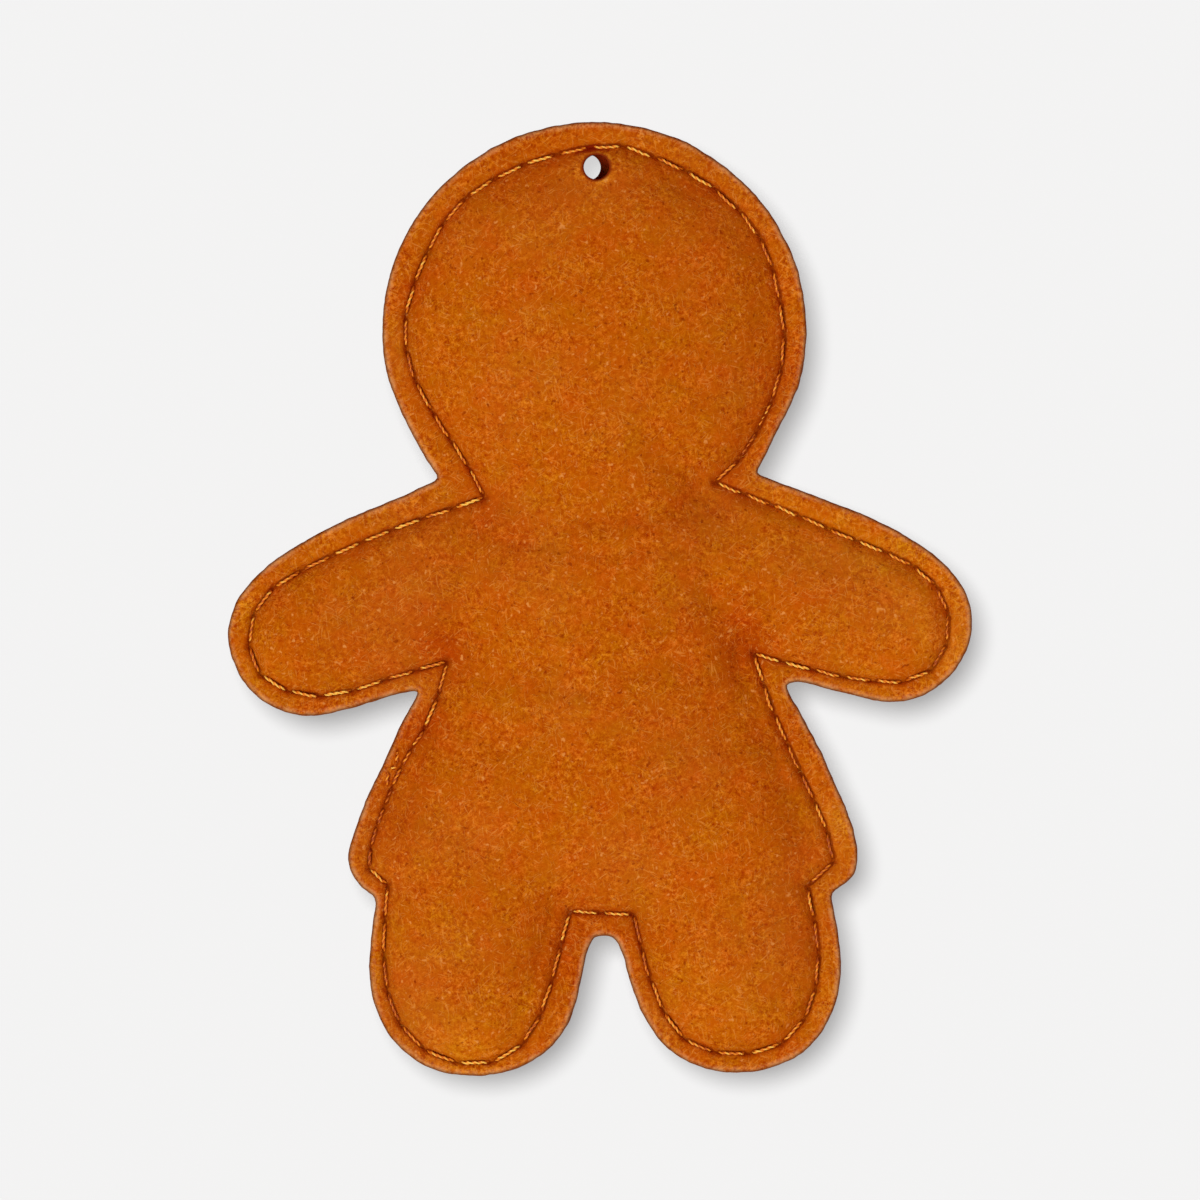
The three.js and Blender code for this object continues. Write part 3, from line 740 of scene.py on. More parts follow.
def face_height(places, side):
    """The height of a panel's face over the middle plane, the same without its fine relief,
    how far each place is from the painted shadow beside the seam's thread, and how far from a
    needle hole."""
    depth, along, _, _ = measure(places, needle_holes)
    stitch = along % 1
    length = stitch_lengths[along.astype(int) % len(needle_holes)]
    from_hole = np.minimum(stitch, 1 - stitch) * length
    from_thread = np.abs(depth)
    if side == FRONT:
        for start, end in zip(backtack_holes, backtack_holes[1:]):
            beside = from_line(places, start, end)
            from_ends = lengths(places[:, None] - [start, end]).min(1)
            from_hole = np.where(beside < from_thread, from_ends, from_hole)
            from_thread = np.minimum(from_thread, beside)
    beside_backtack = from_thread < np.abs(depth)
    pull = PULL_DEPTH * np.exp(-np.abs(depth) / PULL_REACH)
    groove = GROOVE_DEPTH * np.exp(-((from_thread / GROOVE_WIDTH) ** 2))
    groove = np.where(beside_backtack, BACKTACK_GROOVE * groove, groove)
    closing = (along >= closing_start) & (along < closing_end) & (side == FRONT)
    groove = np.where(closing, CLOSING_GROOVE * groove, groove)
    pit = PIT_DEPTH * np.exp(-((from_hole / PIT_LENGTH) ** 2) - (from_thread / PIT_WIDTH) ** 2)
    pucker = PUCKER_HEIGHT * np.cos(2 * np.pi * stitch) * np.exp(-np.abs(depth) / PUCKER_REACH)
    smooth = FELT_FACE + pillow(places, depth > 0, side)
    lumps = LUMP_HEIGHT * uneven(places, LUMP_SIZE, 10 * side)
    smooth += lumps * np.clip(depth / LUMP_START, 0, 1)
    if side == FRONT:
        for start, end, width, fall in FOLDS:
            valley = fall * np.exp(-((from_line(places, start, end) / width) ** 2))
            deepest = DEEPEST_FOLD * (smooth - FELT_FACE)
            smooth -= np.clip(depth / FOLD_START, 0, 1) * np.minimum(valley, deepest)
    ripple = RIPPLE_HEIGHT * uneven(places, RIPPLE_SIZE, 10 * side + 5)
    roll = ROLL_DEPTH * np.exp(-np.maximum(measure(places, outline)[0], 0) / ROLL_REACH)
    from_slit_shadow = from_thread + BACKTACK_SLIT * beside_backtack - BORDER_SLIT * (depth < 0)
    return smooth - pull - groove - pit - pucker - roll + ripple, smooth, from_slit_shadow, from_hole


# %% The painted light and shade of a face
def painted_light_of_face(places, side):
    """How much paler than plain the felt is painted, less than 0 where painted shade darkens it."""
    painted_light_and_tone = np.zeros(len(places))
    if side == FRONT:
        for middle, reach, amount in PAINTED_LIGHT_AND_SHADE:
            away = lengths(places - middle)
            painted_light_and_tone += amount * np.exp(-((away / reach) ** 2))
    return painted_light_and_tone


# %% The sizes of a panel
FELT_THICKNESS = 2.0
HALF_SLIT = 0.002  # the two panels touch along the border
FRAY = 0.1  # how far the cut edge strays from a smooth line
FRAY_WAVES = [(2.2, 1), (0.9, 0.7)]  # in waves of two lengths, each with its share
HOLE_RADIUS = 1.6
FELT_SQUARE = 0.5
SEAM_BAND = 1.15  # the squares so near the seam are divided once more
HOLE_BAND = 0.6  # and so are those round a needle hole
FACE_LAYER = 0.01  # the face starts at a height of 0, and the inside layer at 1
# What the felt's finish follows: distances in millimetres, and how much painted light and shade
# lighten or darken it.
FELT_LAYERS = ("from_cut", "from_thread", "from_needle_hole", "painted_light_and_tone")
# The rows of the cut edge: how far inside the outline, and how far through the felt.
EDGE_ROWS = [
    (0.6, 0), (0.36, 0), (0.18, 0.02), (0.06, 0.07), (0, 0.16), (0.03, 0.5), (0, 0.86), (0, 1),
]


# %% Building a panel
def divide_near(bm, is_near):
    """Divides the squares of the face layer whose corners are all near something."""
    verts = [v for v in bm.verts if abs(v.co.y) < FACE_LAYER]
    near = {v for v, yes in zip(verts, is_near(plane_places(verts))) if yes}
    edges = [e for e in bm.edges if e.verts[0] in near and e.verts[1] in near]
    bmesh.ops.subdivide_edges(bm, edges=edges, cuts=1, use_grid_fill=True)


def near_seam(places):
    """Which of some places lie beside the seam."""
    return np.abs(measure(places, needle_holes)[0]) < SEAM_BAND


def near_needle_hole(places):
    """Which of some places lie round a needle hole."""
    return lengths(places[:, None] - needle_holes).min(1) < HOLE_BAND


def add_layer(bm):
    """Extrudes a sheet once. Returns the new layer's vertices and the edges that lead there."""
    grown = bmesh.ops.extrude_face_region(bm, geom=bm.faces[:])["geom"]
    layer = set(only(grown, bmesh.types.BMVert))
    return layer, [e for e in bm.edges if (e.verts[0] in layer) != (e.verts[1] in layer)]


# %% Finish a piece
def finish_piece(bm, name, material, node=None):
    """Turns a mesh in millimetres into a smooth-shaded object in metres, at the origin and
    with its faces outwards, hangs it on the root body and hides the solid it stands in for."""
    bmesh.ops.recalc_face_normals(bm, faces=bm.faces)
    bmesh.ops.scale(bm, vec=(MM, MM, MM), verts=bm.verts)
    for face in bm.faces:
        face.smooth = True
    mesh = bpy.data.meshes.new(name)
    bm.to_mesh(mesh)
    bm.free()
    mesh.materials.append(material)
    piece = bpy.data.objects.new(name, mesh)
    scene.collection.objects.link(piece)
    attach(piece, "root")
    if node is not None:
        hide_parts(node)
    print(name, "has", sum(len(face.vertices) - 2 for face in mesh.polygons), "triangles")
    return piece


# %% One felt panel
def felt_panel(name, side, hole_middle, material, node):
    """One panel: side is -1 for the front and 1 for the back."""
    hole = {"middle": np.array(hole_middle), "radius": HOLE_RADIUS}
    last_row = len(EDGE_ROWS) - 1
    bm = cut_sheet(outline, FELT_SQUARE, inset=EDGE_ROWS[0][0], hole=hole)
    layers = [bm.verts.layers.float.new(kind) for kind in FELT_LAYERS]
    inside, walls = add_layer(bm)
    for v in inside:
        v.co.y = 1
    inside_rim = {v for e in walls for v in e.verts if v in inside}
    bmesh.ops.subdivide_edges(bm, edges=walls, cuts=last_row - 1, use_grid_fill=True)
    divide_near(bm, near_seam)
    divide_near(bm, near_needle_hole)

    verts = bm.verts[:]
    places = plane_places(verts)
    rows = np.array([round(v.co.y * last_row) for v in verts])
    insets, shares = (np.array(column, float)[rows] for column in zip(*EDGE_ROWS))
    on_edge = np.array([v in inside_rim or 0 < row < last_row for v, row in zip(verts, rows)])
    from_cut, _, nearest, inwards = measure(places, outline)
    spokes = places - hole["middle"]
    reach = lengths(spokes)
    waves = [
        share * uneven(nearest, size, 3 * side + seed)
        for seed, (size, share) in enumerate(FRAY_WAVES)
    ]
    on_outline = nearest + (insets + FRAY * sum(waves))[:, None] * inwards
    on_hole = hole["middle"] + spokes * ((HOLE_RADIUS + insets) / reach)[:, None]
    moved = np.where((reach < HOLE_REACH * HOLE_RADIUS)[:, None], on_hole, on_outline)
    places = np.where(on_edge[:, None], moved, places)

    face, smooth_face, from_thread, from_needle_hole = face_height(places, side)
    # Along the border the inside layer is pressed against the other panel's.
    pressed = np.clip(1 - measure(places, needle_holes)[0], 0, 1)
    pressed *= FELT_FACE - FELT_THICKNESS - HALF_SLIT
    lining = np.maximum(HALF_SLIT, smooth_face - FELT_THICKNESS - pressed)
    height = face + shares * (lining - face)
    from_cut = np.minimum(from_cut, reach - HOLE_RADIUS)
    from_cut = np.where(on_edge, insets - FELT_THICKNESS * shares, from_cut)
    values = np.column_stack([from_cut, from_thread, from_needle_hole, painted_light_of_face(places, side)])
    for v, (x, z), y, row in zip(verts, places, side * height, values):
        v.co = (x, y, z)
        for layer, value in zip(layers, row):
            v[layer] = value
    return finish_piece(bm, name, material, node)


# %% [markdown]
# ## The felt's finish
# Wool and polyester felt is a mat of fine fibres pressed flat. Dyed in one bath it still isn't
# one colour: single fibres take the dye lighter or darker, so the eye sees fine mottling,
# short pale hairs and patches that lean to red or to yellow. It is quite matt. A laser or a
# hot knife cut the edge, which left a thin dark line all along, deepened by painted shade of
# its rounded shoulder, with a paler, pinkish rim inside it. Painted shade darkens the seam's
# groove, its needle holes and the hanging hole, and a painted shadow lies beside the thread.

# %% The felt's patterns
# The random patterns: their size in millimetres, how many finer ones, and how rough.
PATTERNS = {
    "bend": (1.2, 0, 0.5),  # single fibres bend to and fro
    "mottle": (0.62, 2, 0.95),  # fibres that took the dye darker or paler
    "matted": (3.2, 1, 0.5),  # fibres lie smoother in one spot than in the next
    "patch": (4.0, 3, 0.7),  # the felt leans to red or to yellow
    "drift": (16.0, 2, 0.5),  # wide areas are a little paler
    "specks": (0.65, 1, 0.5),  # bits of other fibre
    "ragged": (0.5, 2, 0.5),  # for the lines along the seam and the cut edge
    "blotches": (2.5, 4, 0.95),  # for the pale rim
}

felt, tree = empty_material("pressed fibre felt")
spot = add_node(tree, "TexCoord").outputs["Object"]
pattern = {}
for name, (size, detail, roughness) in PATTERNS.items():
    pattern[name] = add_node(tree, "TexNoise", {
        "Vector": spot, "Scale": 1 / (size * MM), "Detail": detail, "Roughness": roughness,
    })
from_cut, from_thread, from_needle_hole, painted_light_and_tone = (
    add_node(tree, "Attribute", attribute_name=name).outputs["Fac"] for name in FELT_LAYERS
)

# %% Fibres
FIBRE_WIDTH = 0.13  # mm; real fibres are 0.02 mm, too fine for the picture
FIBRE_LENGTH = 1.3
FIBRE_BEND = 0.6
FIBRE_TURNS = (20, 80, 140)  # three layers of fibres that cross each other, in degrees

bent = pattern["bend"].outputs["Color"]
bent = add_node(tree, "VectorMath", {0: bent, 1: (0.5, 0.5, 0.5)}, operation="SUBTRACT")
bent = add_node(tree, "VectorMath", {0: bent, "Scale": FIBRE_BEND * MM}, operation="SCALE")
bent = add_node(tree, "VectorMath", {0: spot, 1: bent}, operation="ADD")
fibres = 0.0
for turn in FIBRE_TURNS:
    along_fibre = add_node(tree, "Mapping", {
        "Vector": bent,
        "Rotation": (0, math.radians(turn), 0),
        "Scale": (FIBRE_LENGTH * MM, FIBRE_LENGTH * MM, FIBRE_WIDTH * MM),
    }, vector_type="TEXTURE")
    streak = add_node(tree, "TexNoise", {"Vector": along_fibre, "Scale": 1.0, "Detail": 0.0})
    fibres = add_node(tree, "Math", {0: fibres, 1: streak}, operation="MAXIMUM")

# %% Where the felt changes colour
# The lines along the seam and the cut edge waver by about 0.1 mm.
ragged = add_node(tree, "MapRange", {"Value": pattern["ragged"], "To Min": -0.35, "To Max": 0.35})
seam_line, cut_line = (
    add_node(tree, "Math", {0: ragged, 1: amount, 2: distance}, operation="MULTIPLY_ADD")
    for amount, distance in ((0.35, from_thread), (0.4, from_cut))
)
from_axis = add_node(tree, "VectorMath", {0: spot, 1: (1, 0, 1)}, operation="MULTIPLY")
from_axis = add_node(tree, "VectorMath", {0: from_axis}, operation="LENGTH").outputs["Value"]
from_middle = add_node(tree, "SeparateXYZ", {0: spot}).outputs["Y"]
from_middle = add_node(tree, "Math", {0: from_middle}, operation="ABSOLUTE")
# Each change follows a value: where it starts, where it is full and how strong it is there.
changes = {
    "frayed": (from_cut, 2.2, 0.8, 0.45),  # near the cut edge the fibres are rougher
    "patch": (pattern["patch"], 0.3, 0.7, 1),
    "drift": (pattern["drift"], 0.45, 0.75, 0.2),
    "hairs": (fibres, 0.71, 0.79, 0.44),
    "pale speck": (pattern["specks"], 0.67, 0.78, 0.7),
    "dark speck": (pattern["specks"], 0.335, 0.225, 0.7),
    "groove shade": (seam_line, 0.7, 0.3, 0.25),  # painted shade in the groove that the thread pulls
    "closed": (from_needle_hole, 0.5, 0.15, 0.2),  # painted shade in the pit round a needle hole
    "rim": (cut_line, 0.85, 0.1, 0.55),
    "blotches": (pattern["blotches"], 0.4, 0.6, 1.7),
    # a singed line along the cut edge, darkened further by painted shade of its rounded shoulder
    "singed and shaded": (cut_line, 0.44, 0.04, 0.8),
    "wall": (from_cut, -0.1, -0.5, 0.75),  # the cut edge seen from the side
    "deep": (from_middle, 2.2 * MM, 1.6 * MM, 1),
    "off the hole": (from_axis, 2.9 * MM, 3.1 * MM, 1),
    "in the hole": (from_axis, 3.1 * MM, 2.9 * MM, 0.95),
}
change = {}
for name, (value, start, full, most) in changes.items():
    change[name] = add_node(tree, "MapRange", {
        "Value": value, "From Min": start, "From Max": full, "To Max": most,
    })
# The painted shadow that the thread casts beside it, darkest at the needle holes.
slit_shadow = add_node(tree, "Math", {0: seam_line, 1: change["closed"]}, operation="ADD")
slit_shadow = add_node(tree, "MapRange", {
    "Value": slit_shadow, "From Min": 0.34, "From Max": 0.2, "To Max": 0.64,
})
rim = add_node(tree, "Math", {0: change["rim"], 1: change["off the hole"]}, operation="MULTIPLY")
rim = add_node(tree, "Math", {0: rim, 1: change["blotches"]}, operation="MULTIPLY")
# Painted shade on the walls and inner faces of the hanging hole.
inside = add_node(tree, "Math", {0: change["deep"], 1: change["singed and shaded"]}, operation="MAXIMUM")
inside = add_node(tree, "Math", {0: inside, 1: change["in the hole"]}, operation="MULTIPLY")

# %% The mottled colour
FIBRE_COLOURS = [(0.25, "#A03200"), (0.5, "#BE5902"), (0.75, "#E4801C")]
TO_RED, TO_YELLOW = (1.05, 0.88, 1.6, 1), (0.95, 1.12, 0.4, 1)
PAINTED_LIGHT_TINT = (0.55, 1.65, 2.5)  # painted light gains more blue than red, and painted shade takes more blue than red away
FIBRE_SHARE, PLAIN_LEVEL = 0.3, 0.32  # what the fibres add to the mottle, and what it starts from

# Fibres that lie smooth differ less, and frayed ones more.
contrast = add_node(tree, "MapRange", {
    "Value": pattern["matted"], "From Min": 0.35, "From Max": 0.65, "To Min": 0.34, "To Max": 1.04,
})
contrast = add_node(tree, "Math", {0: contrast, 1: change["frayed"]}, operation="ADD")
mottle = add_node(tree, "Math", {0: pattern["mottle"], 1: 0.5}, operation="SUBTRACT")
mottle = add_node(tree, "Math", {0: mottle, 1: contrast, 2: PLAIN_LEVEL}, operation="MULTIPLY_ADD")
mottle = add_node(tree, "Math", {0: fibres, 1: FIBRE_SHARE, 2: mottle}, operation="MULTIPLY_ADD")
colour = set_ramp(add_node(tree, "ValToRGB", {0: mottle}), FIBRE_COLOURS)
painted_light_tint = add_node(tree, "VectorMath", {0: painted_light_and_tone, 1: PAINTED_LIGHT_TINT, 2: (1, 1, 1)}, operation="MULTIPLY_ADD")
lean, cut_fibres = (
    add_node(tree, "Mix", {0: amount, 6: low, 7: high}, data_type="RGBA").outputs[2]
    for amount, low, high in (
        (change["patch"], TO_RED, TO_YELLOW), (mottle, linear("#4E1A02"), linear("#D67A34")),
    )
)

# %% The coats of colour, one over the other
coats = [
    (1.0, lean, "MULTIPLY"),
    (change["drift"], linear("#CA6C24"), "MIX"),
    # painted light and shade from the list of places
    (1.0, painted_light_tint, "MULTIPLY"),
    (change["hairs"], linear("#E08A3A"), "MIX"),
    (change["pale speck"], linear("#E8964A"), "MIX"),
    (change["dark speck"], linear("#8A2A00"), "MIX"),
    # painted shade in the seam's groove
    (change["groove shade"], linear("#9E3000"), "MIX"),
    # painted shadow beside the thread
    (slit_shadow, linear("#660800"), "MIX"),
    (rim, linear("#E8A468"), "MIX"),
    # singed cut edge with painted shade of its rounded shoulder
    (change["singed and shaded"], linear("#683418"), "MIX"),
    (change["wall"], cut_fibres, "MIX"),
    (inside, linear("#8C2004"), "MIX"),  # painted shade in the hanging hole, deep in the felt
]
for amount, paint, blend in coats:
    colour = add_node(
        tree, "Mix", {0: amount, 6: colour, 7: paint}, data_type="RGBA", blend_type=blend
    ).outputs[2]

relief = add_node(tree, "Math", {0: mottle, 1: change["hairs"]}, operation="ADD")
bump = add_node(tree, "Bump", {"Height": relief, "Strength": 0.5, "Distance": 0.15 * MM})
shader = add_node(tree, "BsdfPrincipled", {
    "Base Color": colour, "Normal": bump, "Roughness": 0.95, "Specular IOR Level": 0.02,
})
add_node(tree, "OutputMaterial", {"Surface": shader})
print(felt.name, "has", len(tree.nodes), "nodes")

# %% The two panels
FRONT_HOLE = (0.3, 0.1)
BACK_HOLE = (-0.75, 0.25)

front_felt = felt_panel("front_felt", FRONT, FRONT_HOLE, felt, "front_panel")
back_felt = felt_panel("back_felt", BACK, BACK_HOLE, felt, "back_panel")

# %% [markdown]
# ## The thread
# The seam is a lockstitch: the needle's thread lies on the front, and dips at each needle
# hole to lock with the bobbin's thread, which lies on the back the same way. The thread is
# two strands twisted together, and the twist shows as slanting bright bars on each stitch,
# with painted shade where a strand passes under the other or the stitch dips, and a painted
# sheen that is brighter on level stitches.
# A strand is a small circle drawn out along its path. All the stitches of a thread are
# drawn out at once, ring by ring, and then joined end to end.

# %% Tubes drawn out ring by ring
def draw_out(rings, lightness=None):
    """Many tubes at once. rings holds, ring after ring, the corners of every tube, and
    lightness how pale each corner is."""
    bm = bmesh.new()
    corner = bm.verts.layers.int.new("corner")
    light_layer = bm.verts.layers.float.new("lightness")
    tubes, sides = rings.shape[1:3]
    for tube in range(tubes):
        circle = bmesh.ops.create_circle(bm, segments=sides, radius=1)["verts"]
        for k, v in enumerate(circle):
            v[corner] = tube * sides + k
    edges = bm.edges[:]
    ring_verts = bm.verts[:]
    for row, points in enumerate(rings.reshape(len(rings), -1, 3)):
        if row > 0:
            grown = bmesh.ops.extrude_edge_only(bm, edges=edges)["geom"]
            edges = only(grown, bmesh.types.BMEdge)
            ring_verts = only(grown, bmesh.types.BMVert)
        for v in ring_verts:
            v.co = points[v[corner]]
            if lightness is not None:
                v[light_layer] = lightness[row].flat[v[corner]]
    return bm


def close_tubes(bm, joint):
    """Joins tubes whose ends meet and closes the open ends."""
    bmesh.ops.remove_doubles(bm, verts=bm.verts, dist=joint)
    bmesh.ops.holes_fill(bm, edges=[e for e in bm.edges if e.is_boundary], sides=0)


# %% The sizes of a thread and its stitches
PLY_RADIUS = 0.13
PLY_OFFSET = 0.105
PLY_SIDES = 6
TWIST_LENGTH = 1.6
# How one stitch differs from the next, at least and at most:
STITCH_SLANT = (-0.042, 0.098)  # it crosses its groove from one side to the other
STITCH_SWAY = (-0.22, -0.04)  # it mostly lies at the lower left of the groove
STITCH_SINK = (-0.1, 0.36)  # it lies deeper in the felt
STITCH_PALENESS = (-0.6, 0.5)
LEVEL_SHINE, UPRIGHT_DULLNESS = 0.35, 1.1  # painted sheen: level stitches paler, those that run up and down darker
PLY_SHADE, DIP_SHADE = 1.3, 1.2  # painted shade under the other strand, and where the stitch dips
UNDIPPED = 1.6
# Stitches that the felt nearly swallows: their middle and how much deeper they lie.
SWALLOWED = [
    ((44.5, -58.0), 0.42), ((44.2, -55.0), 0.15), ((42.9, -62.1), 0.15), ((-23.6, -21.5), 0.4),
    ((21.0, -31.8), 0.2), ((18.6, -35.4), 0.2),
]
SWALLOWED_REACH = 2.2
# The closing seam's thread lies as high as the others, and what was sewn beside it higher.
CLOSING_SINK = -0.02
BACKTACK_SINK = -0.3
CLOSING_DULLNESS = 0.6  # the closing seam's thread has hardly any shine
# One stitch from needle hole to needle hole: how far along, and how high.
STITCH_ROWS = [
    (0.0, 0.25), (0.04, 0.32), (0.08, 0.5), (0.115, 0.75), (0.145, 1.0), (0.18, 1.28),
    (0.23, 1.5), (0.3, 1.62), (0.39, 1.67), (0.5, 1.68), (0.61, 1.67), (0.7, 1.62), (0.77, 1.5),
    (0.82, 1.28), (0.855, 1.0), (0.885, 0.75), (0.92, 0.5), (0.96, 0.32), (1.0, 0.25),
]


# %% The way of a thread
def unit(vectors):
    """The vectors, each made one long."""
    return vectors / lengths(vectors)[..., None]


def thread_rings(side, holes, deeper, duller):
    """The corners of both strands' rings over the stitches from needle hole to needle hole,
    each with how pale it is painted: painted shade where its strand passes under the other or dips,
    and painted sheen on level stitches."""
    shares, heights = np.array(STITCH_ROWS).T
    ways = unit(np.diff(holes, axis=0))
    ways = np.vstack([ways[:1], ways, ways[-1:]])
    rings = np.zeros((len(shares), 2 * (len(holes) - 1), PLY_SIDES, 4))
    jitter = random.Random(21 + side)
    travelled = 0.0
    for i, (start, end) in enumerate(zip(holes, holes[1:])):
        before, way, after = ways[i : i + 3]
        length = np.linalg.norm(end - start)
        slant = jitter.uniform(*STITCH_SLANT)
        sway = jitter.uniform(*STITCH_SWAY) * (way[0] - way[1]) / math.sqrt(2)
        sink = deeper + jitter.uniform(*STITCH_SINK)
        paler = jitter.uniform(*STITCH_PALENESS) - duller
        # Painted sheen: level stitches paler, upright ones darker.
        paler += LEVEL_SHINE - UPRIGHT_DULLNESS * way[1] ** 2
        for spot, more in SWALLOWED:
            if side == FRONT and math.dist((start + end) / 2, spot) < SWALLOWED_REACH:
                sink += more
        sunk = heights - sink * np.sin(math.pi * shares)
        climbs = np.gradient(sunk, shares)
        climbs[[0, -1]] = 0
        for row, (share, height, climb) in enumerate(zip(shares, sunk, climbs)):
            turned = {0: way + before, 1: way + after}.get(share, way)
            forward = unit(np.array([turned[0], 0, turned[1]]))
            across = np.array([-forward[2], 0, forward[0]])
            rise = forward * length + np.array([0, side * climb, 0])
            upwards = np.cross(unit(rise), across)
            place = start + share * (end - start)
            middle = np.array([place[0], side * height, place[1]])
            lean = slant * math.sin(2 * math.pi * share) + sway * math.sin(math.pi * share)
            middle = middle + lean * across
            turn = 2 * math.pi * (travelled + share * length) / TWIST_LENGTH
            for ply in (0, 1):
                angle = turn + math.pi * ply
                arm = math.cos(angle) * across + math.sin(angle) * upwards
                centre = middle + PLY_OFFSET * arm
                over = side * math.sin(angle) * np.sign(upwards[1])
                # Painted highlight on top of the strand, painted shade under the other and where
                # the stitch dips.
                lightness = PLY_SHADE * over + DIP_SHADE * (height - UNDIPPED) + paler
                for k in range(PLY_SIDES):
                    around = 2 * math.pi * k / PLY_SIDES
                    arm = math.cos(around) * across + math.sin(around) * upwards
                    rings[row, 2 * i + ply, k] = (*(centre + PLY_RADIUS * arm), lightness)
        travelled += length
    return rings


# %% Sew with one thread
def sew(name, side, rows, node, material):
    """The thread of one or more rows of stitches: needle holes, how much deeper and duller."""
    rings = np.concatenate([thread_rings(side, *row) for row in rows], axis=1)
    bm = draw_out(rings[..., :3], lightness=rings[..., 3])
    close_tubes(bm, joint=1e-3)
    return finish_piece(bm, name, material, node)


# %% Thread material
# Polyester thread is smooth and a little glossy, with fine lint. Its colour carries a painted
# highlight on top of each strand and painted shade under the other strand.
THREAD_COLOURS = [(0.1, "#A84606"), (0.42, "#D86E04"), (0.62, "#F4901A"), (0.88, "#FFC652")]

thread, tree = empty_material("two-ply polyester sewing thread")
spot = add_node(tree, "TexCoord").outputs["Object"]
over = add_node(tree, "Attribute", attribute_name="lightness").outputs["Fac"]
painted_light_and_tone = add_node(tree, "TexNoise", {"Vector": spot, "Scale": 1 / (1.5 * MM), "Detail": 2.0})
painted_light_and_tone = add_node(tree, "Math", {0: over, 1: 0.3, 2: painted_light_and_tone}, operation="MULTIPLY_ADD")
colour = set_ramp(add_node(tree, "ValToRGB", {0: painted_light_and_tone}), THREAD_COLOURS)
lint = add_node(tree, "TexNoise", {"Vector": spot, "Scale": 1 / (0.12 * MM), "Detail": 1.0})
bump = add_node(tree, "Bump", {"Height": lint, "Strength": 0.3, "Distance": 0.03 * MM})
shader = add_node(tree, "BsdfPrincipled", {
    "Base Color": colour, "Normal": bump, "Roughness": 0.55, "Specular IOR Level": 0.3,
})
add_node(tree, "OutputMaterial", {"Surface": shader})
print(thread.name, "has", len(tree.nodes), "nodes")

# %% Sew the two seams
closing_holes = needle_holes[closing_start : closing_end + 1]
main_holes = np.vstack([needle_holes[closing_end:], needle_holes[: closing_start + 1]])

main_row, hidden_row = (main_holes, 0.0, 0.0), (closing_holes, 0.0, 0.0)
closing_row = (closing_holes, CLOSING_SINK, CLOSING_DULLNESS)
backtack_row = (backtack_holes, BACKTACK_SINK, CLOSING_DULLNESS)

sew("front_thread", FRONT, [main_row], "seam_needle_thread", thread)
sew("back_thread", BACK, [main_row], "seam_bobbin_thread", thread)
sew("closing_front_thread", FRONT, [closing_row, backtack_row], "closing_needle_thread", thread)
sew("closing_back_thread", BACK, [hidden_row], "closing_bobbin_thread", thread)

# %% [markdown]
# ## Loose fibres
# However well felt is pressed, a few fibres stand off its face, and they soften its outline.
# Each is a hair with three sides, drawn out over a handful of rings along a bent way and
# closed to a point. It is rooted in the felt's own height, so it never floats.

# %% The sizes and the material of loose fibres
FIBRES_ON_A_FACE = 700
FIBRE_TRIES = 4 * FIBRES_ON_A_FACE  # many start or end beside the felt and are left out
FIBRE_RINGS = 5
FIBRE_SIDES = 3
FIBRE_THICKNESS = 0.035
FIBRE_TAPER = 0.9
FIBRE_REACH = (0.8, 2.6)
FIBRE_RISE = (0.03, 0.3)
FIBRE_ROOT = 0.04  # so deep in the felt it starts
FIBRE_CURL = 0.25
NO_FIBRES_ROUND_HOLE = 3
NO_FIBRES_ALONG_CUT = 0.3

# Single fibres of the same felt: matt, and paler than the sheet, as light comes round them.
fuzz, tree = empty_material("loose felt fibre")
shader = add_node(tree, "BsdfPrincipled", {
    "Base Color": linear("#D8862C"), "Roughness": 0.9, "Specular IOR Level": 0.05,
})
add_node(tree, "OutputMaterial", {"Surface": shader})


# %% Strew loose fibres over both faces
def loose_fibres(name, side, seed):
    """Fibres strewn over one face, all in one piece."""
    chance = np.random.default_rng(seed)
    low, high = outline.min(0), outline.max(0)
    heading = chance.uniform(0, 2 * math.pi, FIBRE_TRIES)
    curl = chance.normal(0, FIBRE_CURL, FIBRE_TRIES)
    reach = chance.uniform(*FIBRE_REACH, FIBRE_TRIES)
    ways, places = [], [low + chance.random((FIBRE_TRIES, 2)) * (high - low)]
    for _ in range(FIBRE_RINGS):
        ways.append(np.column_stack([np.cos(heading), np.sin(heading)]))
        places.append(places[-1] + ways[-1] * reach[:, None] / FIBRE_RINGS)
        heading = heading + curl
    ways, places = np.array(ways), np.array(places)
    on_felt = (lengths(places) > NO_FIBRES_ROUND_HOLE).all(0)
    for ends in (places[0], places[FIBRE_RINGS // 2], places[-1]):
        on_felt &= measure(ends, outline)[0] > NO_FIBRES_ALONG_CUT
    ways, places = (rows[:, on_felt][:, :FIBRES_ON_A_FACE] for rows in (ways, places))
    count = places.shape[1]
    rise = chance.uniform(*FIBRE_RISE, count) * chance.random(count)
    rings = np.zeros((FIBRE_RINGS, count, FIBRE_SIDES, 3))
    for row in range(FIBRE_RINGS):
        share = row / (FIBRE_RINGS - 1)
        height = face_height(places[row], side)[0] + rise * share**1.5 - FIBRE_ROOT * (1 - share)
        centre = np.column_stack([places[row][:, 0], side * height, places[row][:, 1]])
        across = np.column_stack([-ways[row][:, 1], np.zeros(count), ways[row][:, 0]])
        thickness = FIBRE_THICKNESS * (1 - FIBRE_TAPER * share**2)
        for k in range(FIBRE_SIDES):
            around = 2 * math.pi * k / FIBRE_SIDES
            arm = math.cos(around) * across + math.sin(around) * np.array([0, side, 0])
            rings[row, :, k] = centre + thickness * arm
    bm = draw_out(rings)
    close_tubes(bm, joint=1e-6)
    finish_piece(bm, name, fuzz)


loose_fibres("front_fibres", FRONT, 5)
loose_fibres("back_fibres", BACK, 6)

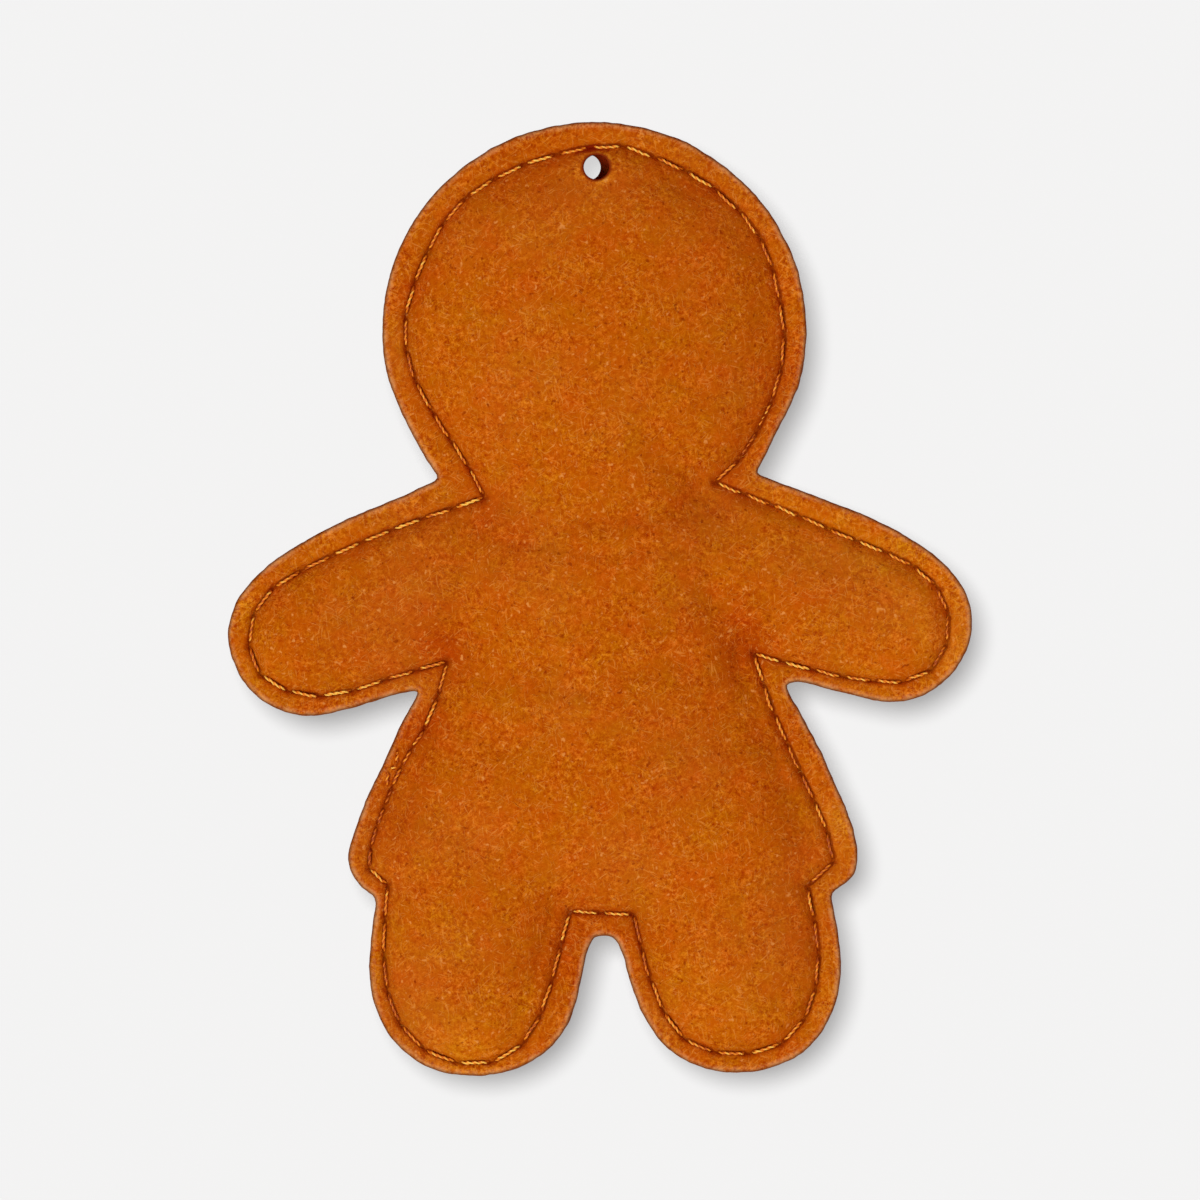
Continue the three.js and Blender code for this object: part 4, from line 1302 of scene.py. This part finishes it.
# %% [markdown]
# ## The stuffing
# Inside is loose polyester fibre, pushed in as wads, limbs first. It hardly shows, but it is
# what holds the felt up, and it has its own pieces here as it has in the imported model. Each
# wad is a sheet cut 3 mm inside the seam, trimmed with straight cuts at the neck, the
# shoulders and the hips, and thickened until it nearly fills the space between the felts.

# %% Fibre stuffing
# Fine white fibres in soft clumps, without any gloss.
fibrefill, tree = empty_material("loose polyester fibre stuffing")
spot = add_node(tree, "TexCoord").outputs["Object"]
clumps = add_node(tree, "TexNoise", {
    "Vector": spot, "Scale": 1 / (1.8 * MM), "Detail": 5.0, "Roughness": 0.7,
})
colour = set_ramp(add_node(tree, "ValToRGB", {0: clumps}), [(0.3, "#DCD6C8"), (0.7, "#F6F3EC")])
bump = add_node(tree, "Bump", {"Height": clumps, "Strength": 0.6, "Distance": 0.4 * MM})
shader = add_node(tree, "BsdfPrincipled", {
    "Base Color": colour, "Normal": bump, "Roughness": 1.0, "Specular IOR Level": 0.1,
    "Sheen Weight": 0.3,
})
add_node(tree, "OutputMaterial", {"Surface": shader})
print(fibrefill.name, "has", len(tree.nodes), "nodes")

# %% The sizes of the wads and where they end
WAD_SQUARE = 1.6
WAD_MARGIN = 3.0
WAD_CLEARANCE = 0.3
WAD_GAP = 0.3
WAD_EDGE, WAD_THINNEST = 0.25, 0.2  # half its thickness where it runs out
WAD_LUMP_SIZE, WAD_LUMPS = 2.5, 0.3
NECK_CUT = ((-11.6, -43.3), (13.1, -42.0))
LEFT_SHOULDER_CUT = ((-11.6, -43.3), (-14.2, -61.3))
RIGHT_SHOULDER_CUT = ((13.1, -42.0), (16.0, -60.8))
LEFT_HIP_CUT = ((-24.6, -88.5), (-5.2, -90.5))
RIGHT_HIP_CUT = ((6.9, -90.8), (25.7, -88.0))
UNDER_HOLE_CUT = ((-10, -3.4), (10, -3.4))
LEFT_ARM_FLOOR = ((-14.0, -64.6), (-40, -64.6))
RIGHT_ARM_FLOOR = ((14.0, -64.4), (40, -64.4))
BETWEEN_LEGS = ((1.2, -85), (1.2, -110))


# %% One wad
def trim(bm, cut, keep):
    """Cuts a sheet along a line and keeps the side where a place lies."""
    (ax, az), (bx, bz) = cut
    normal = Vector((az - bz, 0, bx - ax)).normalized()
    if normal.dot(Vector((keep[0] - ax, 0, keep[1] - az))) > 0:
        normal = -normal
    start = Vector((ax, 0, az)) - normal * WAD_GAP / 2
    everything = bm.verts[:] + bm.edges[:] + bm.faces[:]
    bmesh.ops.bisect_plane(bm, geom=everything, plane_co=start, plane_no=normal, clear_outer=True)


def add_wad(name, node, keep, cuts):
    """One wad: what the cuts leave of the stuffing on the side where a place lies."""
    bm = cut_sheet(needle_holes, WAD_SQUARE, inset=WAD_MARGIN)
    for cut in cuts:
        trim(bm, cut, keep)
    behind, walls = add_layer(bm)
    places = plane_places(bm.verts)
    depth = measure(places, needle_holes)[0]
    lift = np.minimum(pillow(places, depth > 0, FRONT), pillow(places, depth > 0, BACK))
    half = np.maximum(WAD_EDGE, FELT_FACE - FELT_THICKNESS + lift - WAD_CLEARANCE)
    half -= WAD_LUMPS * np.abs(uneven(places, WAD_LUMP_SIZE, 40))
    for v, thick in zip(bm.verts, np.maximum(half, WAD_THINNEST)):
        v.co.y = thick if v in behind else -thick
    bmesh.ops.subdivide_edges(bm, edges=walls, cuts=2, use_grid_fill=True)
    wad = finish_piece(bm, name, fibrefill, node)
    return wad


# %% The six wads
wads = [
    add_wad("head_wad", "head_stuffing", (0, -20), [NECK_CUT, UNDER_HOLE_CUT]),
    add_wad("torso_wad", "torso_stuffing", (0, -70), [
        NECK_CUT, LEFT_SHOULDER_CUT, RIGHT_SHOULDER_CUT, LEFT_HIP_CUT, RIGHT_HIP_CUT,
    ]),
    add_wad("left_arm_wad", "left_arm_stuffing", (-30, -56), [
        NECK_CUT, LEFT_SHOULDER_CUT, LEFT_ARM_FLOOR,
    ]),
    add_wad("right_arm_wad", "right_arm_stuffing", (30, -56), [
        NECK_CUT, RIGHT_SHOULDER_CUT, RIGHT_ARM_FLOOR,
    ]),
    add_wad("left_leg_wad", "left_leg_stuffing", (-15, -103), [LEFT_HIP_CUT, BETWEEN_LEGS]),
    add_wad("right_leg_wad", "right_leg_stuffing", (17, -103), [RIGHT_HIP_CUT, BETWEEN_LEGS]),
]
